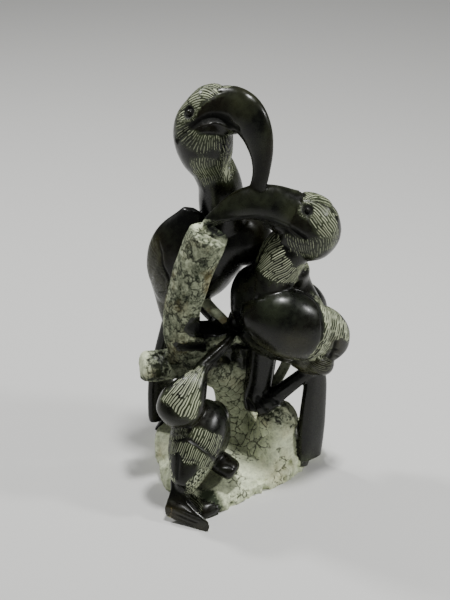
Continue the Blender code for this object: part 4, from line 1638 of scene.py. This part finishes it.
def linear(code: str) -> tuple[float, float, float, float]:
    """Turns an sRGB hex code into linear colour.

    Args:
        code: Six hex digits.

    Returns:
        Red, green, blue and a full alpha.
    """
    values = [int(code[i:i + 2], 16) / 255 for i in (0, 2, 4)]
    red, green, blue = (v / 12.92 if v <= 0.04045 else ((v + 0.055) / 1.055) ** 2.4 for v in values)
    return red, green, blue, 1.0


def per_metre(millimetres: float) -> float:
    """The texture scale that makes one cell this wide.

    Args:
        millimetres: The cell's real width.

    Returns:
        Cells to the metre.
    """
    return 1000.0 / millimetres


@dataclass
class Graph:
    """A material's nodes."""

    material: Material

    def add(self, kind: str, fill: dict[int | str, object] | None = None, out: int | str = 0,
            **settings: object) -> NodeSocket | None:
        """Adds one node, with its settings, its values and what feeds it.

        Args:
            kind: The node's type, without its beginning.
            fill: For each input, a value or the output that feeds it.
            out: Which output to hand back.
            **settings: The node's own settings.

        Returns:
            The output asked for, if the node has outputs.
        """
        node = self.material.node_tree.nodes.new(f"ShaderNode{kind}")
        for name, value in settings.items():
            setattr(node, name, value)
        for key, value in (fill or {}).items():
            if isinstance(value, NodeSocket):
                self.material.node_tree.links.new(value, node.inputs[key])
            else:
                node.inputs[key].default_value = value
        return node.outputs[out] if node.outputs else None

    def fade(self, value: NodeSocket, low: float, high: float) -> NodeSocket:
        """Adds a smooth ramp, 0 at low and 1 at high.

        Args:
            value: What is ramped.
            low: Where the ramp gives 0.
            high: Where it gives 1.

        Returns:
            The ramp's output.
        """
        return self.add("MapRange", {0: value, 1: low, 2: high, 3: 0.0, 4: 1.0},
                        interpolation_type="SMOOTHSTEP")


@dataclass(frozen=True)
class Serpentine:
    """Serpentine, rubbed down with wet paper and waxed where it is dark, and left chiselled elsewhere.

    The rubbed stone reads as near-black green with soft mottling and a wax sheen, with a painted sheen
    laid into its colour in places and painted shade in its cuts. The chiselled stone is bruised white by the
    tools, so it is pale, rough and powdery, and dirt darkens its joints; painted light and shade also lie in
    its tone.
    """

    dark: str = "050704"
    mottled: str = "12160d"
    brown: str = "3a2e10"
    pale_patch_and_painted_sheen: str = "49523b"
    raw_dark: str = "2b3421"
    raw_pale: str = "eaf2cd"
    raw_warm: str = "d3b878"
    joint: str = "12160d"
    cut: str = "dde4c0"
    ior: float = 1.44
    sheen: float = 0.42
    # heights in metres
    stroke_floor: float = 0.00022
    tool_marks: float = 0.0005
    stone_grain: float = 0.0002
    mottling: float = 0.00006

    def strokes(self, g: Graph, place: NodeSocket, kind: NodeSocket, wander: NodeSocket) -> tuple[NodeSocket,
                                                                                                  ...]:
        """The chisel's strokes: columns around an axis, each broken into strokes of uneven length.

        Args:
            g: The material's nodes.
            place: Two numbers across the axis and one along it.
            kind: The number of columns, the strokes' length and the pale share.
            wander: A soft noise that bends them.

        Returns:
            Where the stone is cut, where it is pale, and a number of each stroke's own.
        """
        across = g.add("SeparateXYZ", {0: place}, out=0)
        split = across.node.outputs
        kinds = g.add("SeparateXYZ", {0: kind}).node.outputs
        turn = g.add("Math", {0: split[1], 1: split[0]}, operation="ARCTAN2")
        turn = g.add("Math", {0: turn, 1: 2 * math.pi}, operation="DIVIDE")
        count = g.add("Math", {0: kinds[0]}, operation="ROUND")
        phase = g.add("Math", {0: turn, 1: count, 2: wander}, operation="MULTIPLY_ADD")
        column = g.add("Math", {0: phase}, operation="FLOOR")
        inside = g.add("Math", {0: phase}, operation="FRACT")
        seed = g.add("CombineXYZ", {0: column, 1: count})
        own = g.add("TexWhiteNoise", {0: seed}, out="Value", noise_dimensions="2D")
        run = g.add("Math", {0: split[2], 1: kinds[1]}, operation="DIVIDE")
        run = g.add("Math", {0: own, 1: 7.0, 2: run}, operation="MULTIPLY_ADD")
        piece = g.add("Math", {0: run}, operation="FLOOR")
        down = g.add("Math", {0: run}, operation="FRACT")
        seed = g.add("CombineXYZ", {0: column, 1: count, 2: piece})
        chance = g.add("TexWhiteNoise", {0: seed}, out="Value", noise_dimensions="3D")
        middle = g.add("Math", {0: chance, 1: 0.3, 2: inside}, operation="MULTIPLY_ADD")
        middle = g.add("Math", {0: middle, 1: 0.65}, operation="SUBTRACT")
        off = g.add("Math", {0: middle}, operation="ABSOLUTE")
        rest = g.add("Math", {0: 1.0, 1: kinds[2]}, operation="SUBTRACT")
        thin = g.add("Math", {0: kinds[2], 1: rest}, operation="MINIMUM")
        uneven = g.add("MapRange", {0: chance, 3: 0.34, 4: 0.66})
        half = g.add("Math", {0: thin, 1: uneven}, operation="MULTIPLY")
        # a stroke narrows towards both of its ends
        ends = g.add("Math", {0: down, 1: 0.5}, operation="SUBTRACT")
        ends = g.add("Math", {0: ends}, operation="ABSOLUTE")
        to_end = g.add("Math", {0: 0.5, 1: ends}, operation="SUBTRACT")
        to_end = g.add("Math", {0: to_end, 1: kinds[1]}, operation="MULTIPLY")
        taper = g.fade(to_end, 0.0, STROKE_END)
        half = g.add("Math", {0: half, 1: taper}, operation="MULTIPLY")
        gap = g.add("Math", {0: half, 1: off}, operation="SUBTRACT")
        cut = g.fade(gap, -0.09, 0.07)
        there = g.add("MapRange", {0: taper, 1: 0.0, 2: 0.15, 3: 0.0, 4: 1.0})
        cut = g.add("Math", {0: cut, 1: there}, operation="MULTIPLY")
        # a loop is the rim of an oval as wide as its column
        wide = g.add("Math", {0: off, 1: 2.1}, operation="MULTIPLY")
        long = g.add("Math", {0: ends, 1: 2.1}, operation="MULTIPLY")
        oval = g.add("VectorMath", {0: g.add("CombineXYZ", {0: wide, 1: long})}, out="Value",
                     operation="LENGTH")
        inner = g.fade(oval, 0.35, 0.6)
        outer = g.fade(oval, 1.02, 0.86)
        loop = g.add("Math", {0: inner, 1: outer}, operation="MULTIPLY")
        is_loop = g.add("Math", {0: kinds[2], 1: 1.0}, operation="GREATER_THAN")
        is_pale = g.add("Math", {0: kinds[2], 1: 0.5}, operation="GREATER_THAN")
        turned = g.add("Math", {0: 1.0, 1: cut}, operation="SUBTRACT")
        pale = g.add("Mix", {0: is_pale, 2: cut, 3: turned})
        pale = g.add("Mix", {0: is_loop, 2: pale, 3: loop})
        cut = g.add("Mix", {0: is_loop, 2: cut, 3: inner})
        return cut, pale, chance

    def material(self) -> Material:
        """Builds the stone.

        Returns:
            The material.
        """
        made = bpy.data.materials.new("serpentine_waxed_and_chiselled")
        made.use_nodes = True
        made.node_tree.nodes.clear()
        g = Graph(made)
        where = g.add("TexCoord", out="Object")
        finish = g.add("SeparateXYZ",
                       {0: g.add("Attribute", out="Vector", attribute_name="finish")}).node.outputs
        joints = g.add("SeparateXYZ",
                       {0: g.add("Attribute", out="Vector", attribute_name="joints")}).node.outputs
        place = g.add("Attribute", out="Vector", attribute_name="stroke_place")
        kind = g.add("Attribute", out="Vector", attribute_name="stroke_kind")
        # soft clouds of 30 mm, mottling of 6 mm, tool marks of 2 mm and a grain of 0.5 mm
        cloud, mottle, marks, grain = (
            g.add("TexNoise", {"Vector": where, "Scale": per_metre(size), "Detail": detail}, out="Fac")
            for size, detail in ((30, 3.0), (6, 4.0), (2.2, 3.0), (0.5, 2.0))
        )
        wander = g.add("Attribute", out="Fac", attribute_name="wander")
        cut, pale, chance = self.strokes(g, place, kind, wander)
        # the waxed stone; its tone lifts it towards a paler green, for the stone's own paler patches and,
        # where tints ask for it, a painted sheen
        dark = g.add("Mix", {0: g.add("MapRange", {0: mottle, 1: 0.42, 2: 0.68}), 6: linear(self.dark),
                             7: linear(self.mottled)}, out=2, data_type="RGBA")
        lift = g.add("Math", {0: finish[1], 1: g.add("MapRange", {0: cloud, 1: 0.35, 2: 0.65})},
                     operation="MULTIPLY")
        dark = g.add("Mix", {0: lift, 6: dark, 7: linear(self.pale_patch_and_painted_sheen)}, out=2, data_type="RGBA")
        rust = g.add("Math", {0: finish[2], 1: g.add("MapRange", {0: cloud, 1: 0.3, 2: 0.7})},
                     operation="MULTIPLY")
        dark = g.add("Mix", {0: g.add("Math", {0: rust, 1: 0.55}, operation="MULTIPLY"), 6: dark,
                             7: linear(self.brown)}, out=2, data_type="RGBA")
        # painted shade: the waxed stone is darkened towards its darkest colour in the cuts, besides being
        # made rough there below
        dull_and_shaded = g.add("Attribute", out="Fac", attribute_name="dull_and_shaded")
        dark = g.add("Mix", {0: g.add("Math", {0: dull_and_shaded, 1: 0.8}, operation="MULTIPLY"), 6: dark,
                             7: linear(self.dark)}, out=2, data_type="RGBA")
        # the chiselled stone: each flag or plate a little lighter or darker, powdery, and dirty in its joints
        shade = g.add("Math", {0: joints[1], 1: 0.16, 2: finish[1]}, operation="MULTIPLY_ADD")
        shade = g.add("Math", {0: marks, 1: 0.7, 2: shade}, operation="MULTIPLY_ADD")
        shade = g.add("Math", {0: mottle, 1: 0.7, 2: shade}, operation="MULTIPLY_ADD")
        shade = g.add("Math", {0: shade, 1: 0.80}, operation="SUBTRACT", use_clamp=True)
        raw = g.add("Mix", {0: shade, 6: linear(self.raw_dark), 7: linear(self.raw_pale)}, out=2,
                    data_type="RGBA")
        warm = g.add("Math", {0: finish[2], 1: g.add("MapRange", {0: cloud, 1: 0.5, 2: 0.75})},
                     operation="MULTIPLY")
        raw = g.add("Mix", {0: warm, 6: raw, 7: linear(self.raw_warm)}, out=2, data_type="RGBA")
        ragged = g.add("Math", {0: marks, 1: 0.9, 2: joints[0]}, operation="MULTIPLY_ADD")
        seam = g.fade(ragged, 1.15, 0.55)
        raw = g.add("Mix", {0: g.add("Math", {0: seam, 1: 0.8}, operation="MULTIPLY"), 6: raw,
                            7: linear(self.joint)}, out=2, data_type="RGBA")
        # both finishes meet in a ragged edge
        edge = g.add("Math", {0: marks, 1: 0.4, 2: finish[0]}, operation="MULTIPLY_ADD")
        edge = g.add("Math", {0: mottle, 1: 0.8, 2: edge}, operation="MULTIPLY_ADD")
        waxed = g.fade(edge, 0.92, 1.12)
        colour = g.add("Mix", {0: waxed, 6: raw, 7: dark}, out=2, data_type="RGBA")
        # strokes, where there are any
        # each stroke ends in its own place, so that a patch has a ragged edge
        late = g.add("Math", {0: chance, 1: -0.6, 2: joints[2]}, operation="MULTIPLY_ADD")
        present = g.fade(late, 0.15, 0.35)
        struck = g.add("Math", {0: present, 1: pale}, operation="MULTIPLY")
        strength = g.add("MapRange", {0: chance, 3: 1.0, 4: 0.25})
        struck = g.add("Math", {0: struck, 1: strength}, operation="MULTIPLY")
        powder = g.add("Mix", {0: finish[1], 6: linear(self.raw_dark), 7: linear(self.cut)}, out=2,
                       data_type="RGBA")
        colour = g.add("Mix", {0: struck, 6: colour, 7: powder}, out=2, data_type="RGBA")
        # wax leaves a gloss, but none in the cuts, which the cloth passes over, nor on chiselled stone
        wax = g.add("MapRange", {0: mottle, 1: 0.3, 2: 0.7, 3: 0.21, 4: 0.36})
        coarse = g.add("MapRange", {0: grain, 1: 0.3, 2: 0.7, 3: 0.7, 4: 0.95})
        bare = g.add("Math", {0: 1.0, 1: waxed}, operation="SUBTRACT")
        bare = g.add("Math", {0: bare, 1: struck}, operation="MAXIMUM")
        roughness = g.add("Mix", {0: g.add("Math", {0: bare, 1: dull_and_shaded}, operation="MAXIMUM"), 2: wax,
                                  3: coarse})
        # a stroke's sharp floor, then tool marks and a fine grain, on raw stone alone
        deep = g.add("Math", {0: cut, 1: present}, operation="MULTIPLY")
        height = g.add("Math", {0: deep, 1: -self.stroke_floor}, operation="MULTIPLY")
        raw_height = g.add("Math", {0: marks, 1: self.tool_marks}, operation="MULTIPLY")
        raw_height = g.add("Math", {0: grain, 1: self.stone_grain, 2: raw_height}, operation="MULTIPLY_ADD")
        height = g.add("Math", {0: raw_height, 1: bare, 2: height}, operation="MULTIPLY_ADD")
        height = g.add("Math", {0: mottle, 1: self.mottling, 2: height}, operation="MULTIPLY_ADD")
        normal = g.add("Bump", {"Height": height, "Distance": 1.0, "Strength": 0.9})
        shader = g.add("BsdfPrincipled", {"Base Color": colour, "Roughness": roughness, "IOR": self.ior,
                                          "Specular IOR Level": self.sheen,
                                          "Normal": normal})
        g.add("OutputMaterial", {0: shader})
        return made


@dataclass(frozen=True)
class Paper:
    """Matt studio paper, which only carries a soft shadow."""

    colour: str = "d6d6d3"

    def material(self) -> Material:
        """Builds the paper.

        Returns:
            The material.
        """
        made = bpy.data.materials.new("matt_studio_paper")
        made.use_nodes = True
        made.node_tree.nodes.clear()
        g = Graph(made)
        where = g.add("TexCoord", out="Object")
        fibres = g.add("TexNoise", {"Vector": where, "Scale": per_metre(1.5)}, out="Fac")
        normal = g.add("Bump", {"Height": g.add("Math", {0: fibres, 1: 0.00003}, operation="MULTIPLY"),
                                "Distance": 1.0})
        shader = g.add("BsdfPrincipled",
                       {"Base Color": linear(self.colour), "Roughness": 0.9, "Normal": normal})
        g.add("OutputMaterial", {0: shader})
        return made


@dataclass(frozen=True)
class Lamp:
    """A soft square lamp, aimed at a place."""

    name: str
    place: Point
    target: Point
    size: float
    watts: float

    def light(self) -> None:
        """Hangs the lamp."""
        data = bpy.data.lights.new(self.name, "AREA")
        data.shape = "SQUARE"
        data.size = self.size
        data.energy = self.watts
        lamp = bpy.data.objects.new(self.name, data)
        bpy.context.scene.collection.objects.link(lamp)
        aim(lamp, self.place, self.target)


@dataclass(frozen=True)
class Studio:
    """A pale floor, soft lamps and the camera."""

    floor_size: float = 30.0
    distance: float = 1.4
    elevation: float = math.radians(30)
    target: Point = (-0.013, 0.0, 0.206)
    lens: float = 84.0
    sensor: float = 36.0
    room_light: float = 0.14
    lamps: tuple[Lamp, ...] = (
        Lamp("overhead_lamp", (0.15, -0.10, 1.75), (0.0, 0.0, 0.2), 0.16, 26.0),
        Lamp("left_lamp", (-0.85, 0.68, 1.30), (0.0, 0.0, 0.2), 0.16, 13.0),
        Lamp("right_lamp", (1.20, -0.22, 0.95), (0.0, 0.0, 0.25), 0.16, 10.0),
    )

    def floor(self) -> Object:
        """Lays the floor: a flat grid of four corners, turned to face up.

        Returns:
            The floor.
        """
        half = self.floor_size / 2
        mesh = bpy.data.meshes.new("paper_floor")
        mesh.from_pydata([(-half, -half, 0), (half, -half, 0), (half, half, 0), (-half, half, 0)], [],
                         [(0, 1, 2, 3)])
        mesh.materials.append(Paper().material())
        floor = bpy.data.objects.new("paper_floor", mesh)
        bpy.context.scene.collection.objects.link(floor)
        return floor

    def world(self) -> None:
        """Fills the room with soft white light."""
        world = bpy.data.worlds.new("soft_white")
        world.use_nodes = True
        background = world.node_tree.nodes["Background"]
        background.inputs["Color"].default_value = (1.0, 1.0, 1.0, 1.0)
        background.inputs["Strength"].default_value = self.room_light
        bpy.context.scene.world = world

    def camera(self) -> None:
        """Sets the camera up at the height of a standing viewer's eyes."""
        data = bpy.data.cameras.new("camera")
        data.lens = self.lens
        data.sensor_width = self.sensor
        camera = bpy.data.objects.new("camera", data)
        bpy.context.scene.collection.objects.link(camera)
        x, y, z = self.target
        back, up = math.cos(self.elevation) * self.distance, math.sin(self.elevation) * self.distance
        aim(camera, (x, y - back, z + up), self.target)
        bpy.context.scene.camera = camera

    def set_up(self) -> Object:
        """Builds the whole studio.

        Returns:
            The floor, which is part of the stage.
        """
        self.world()
        self.camera()
        for lamp in self.lamps:
            lamp.light()
        return self.floor()


def aim(thing: Object, place: Point, target: Point) -> None:
    """Puts a lamp or a camera in its place and turns it to its target.

    Args:
        thing: The lamp or camera.
        place: Where it goes.
        target: What it looks at.
    """
    thing.location = place
    thing.rotation_euler = (Vector(target) - Vector(place)).to_track_quat("-Z", "Y").to_euler()


def main() -> None:
    """Builds the carving and the studio."""
    logging.basicConfig(level=logging.INFO, format="%(name)s: %(message)s")
    piece = Carving().build()
    piece.data.materials.clear()
    piece.data.materials.append(Serpentine().material())
    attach(piece, "root")
    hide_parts("bird_carving")
    Studio().set_up()


if __name__ == "__main__":
    main()
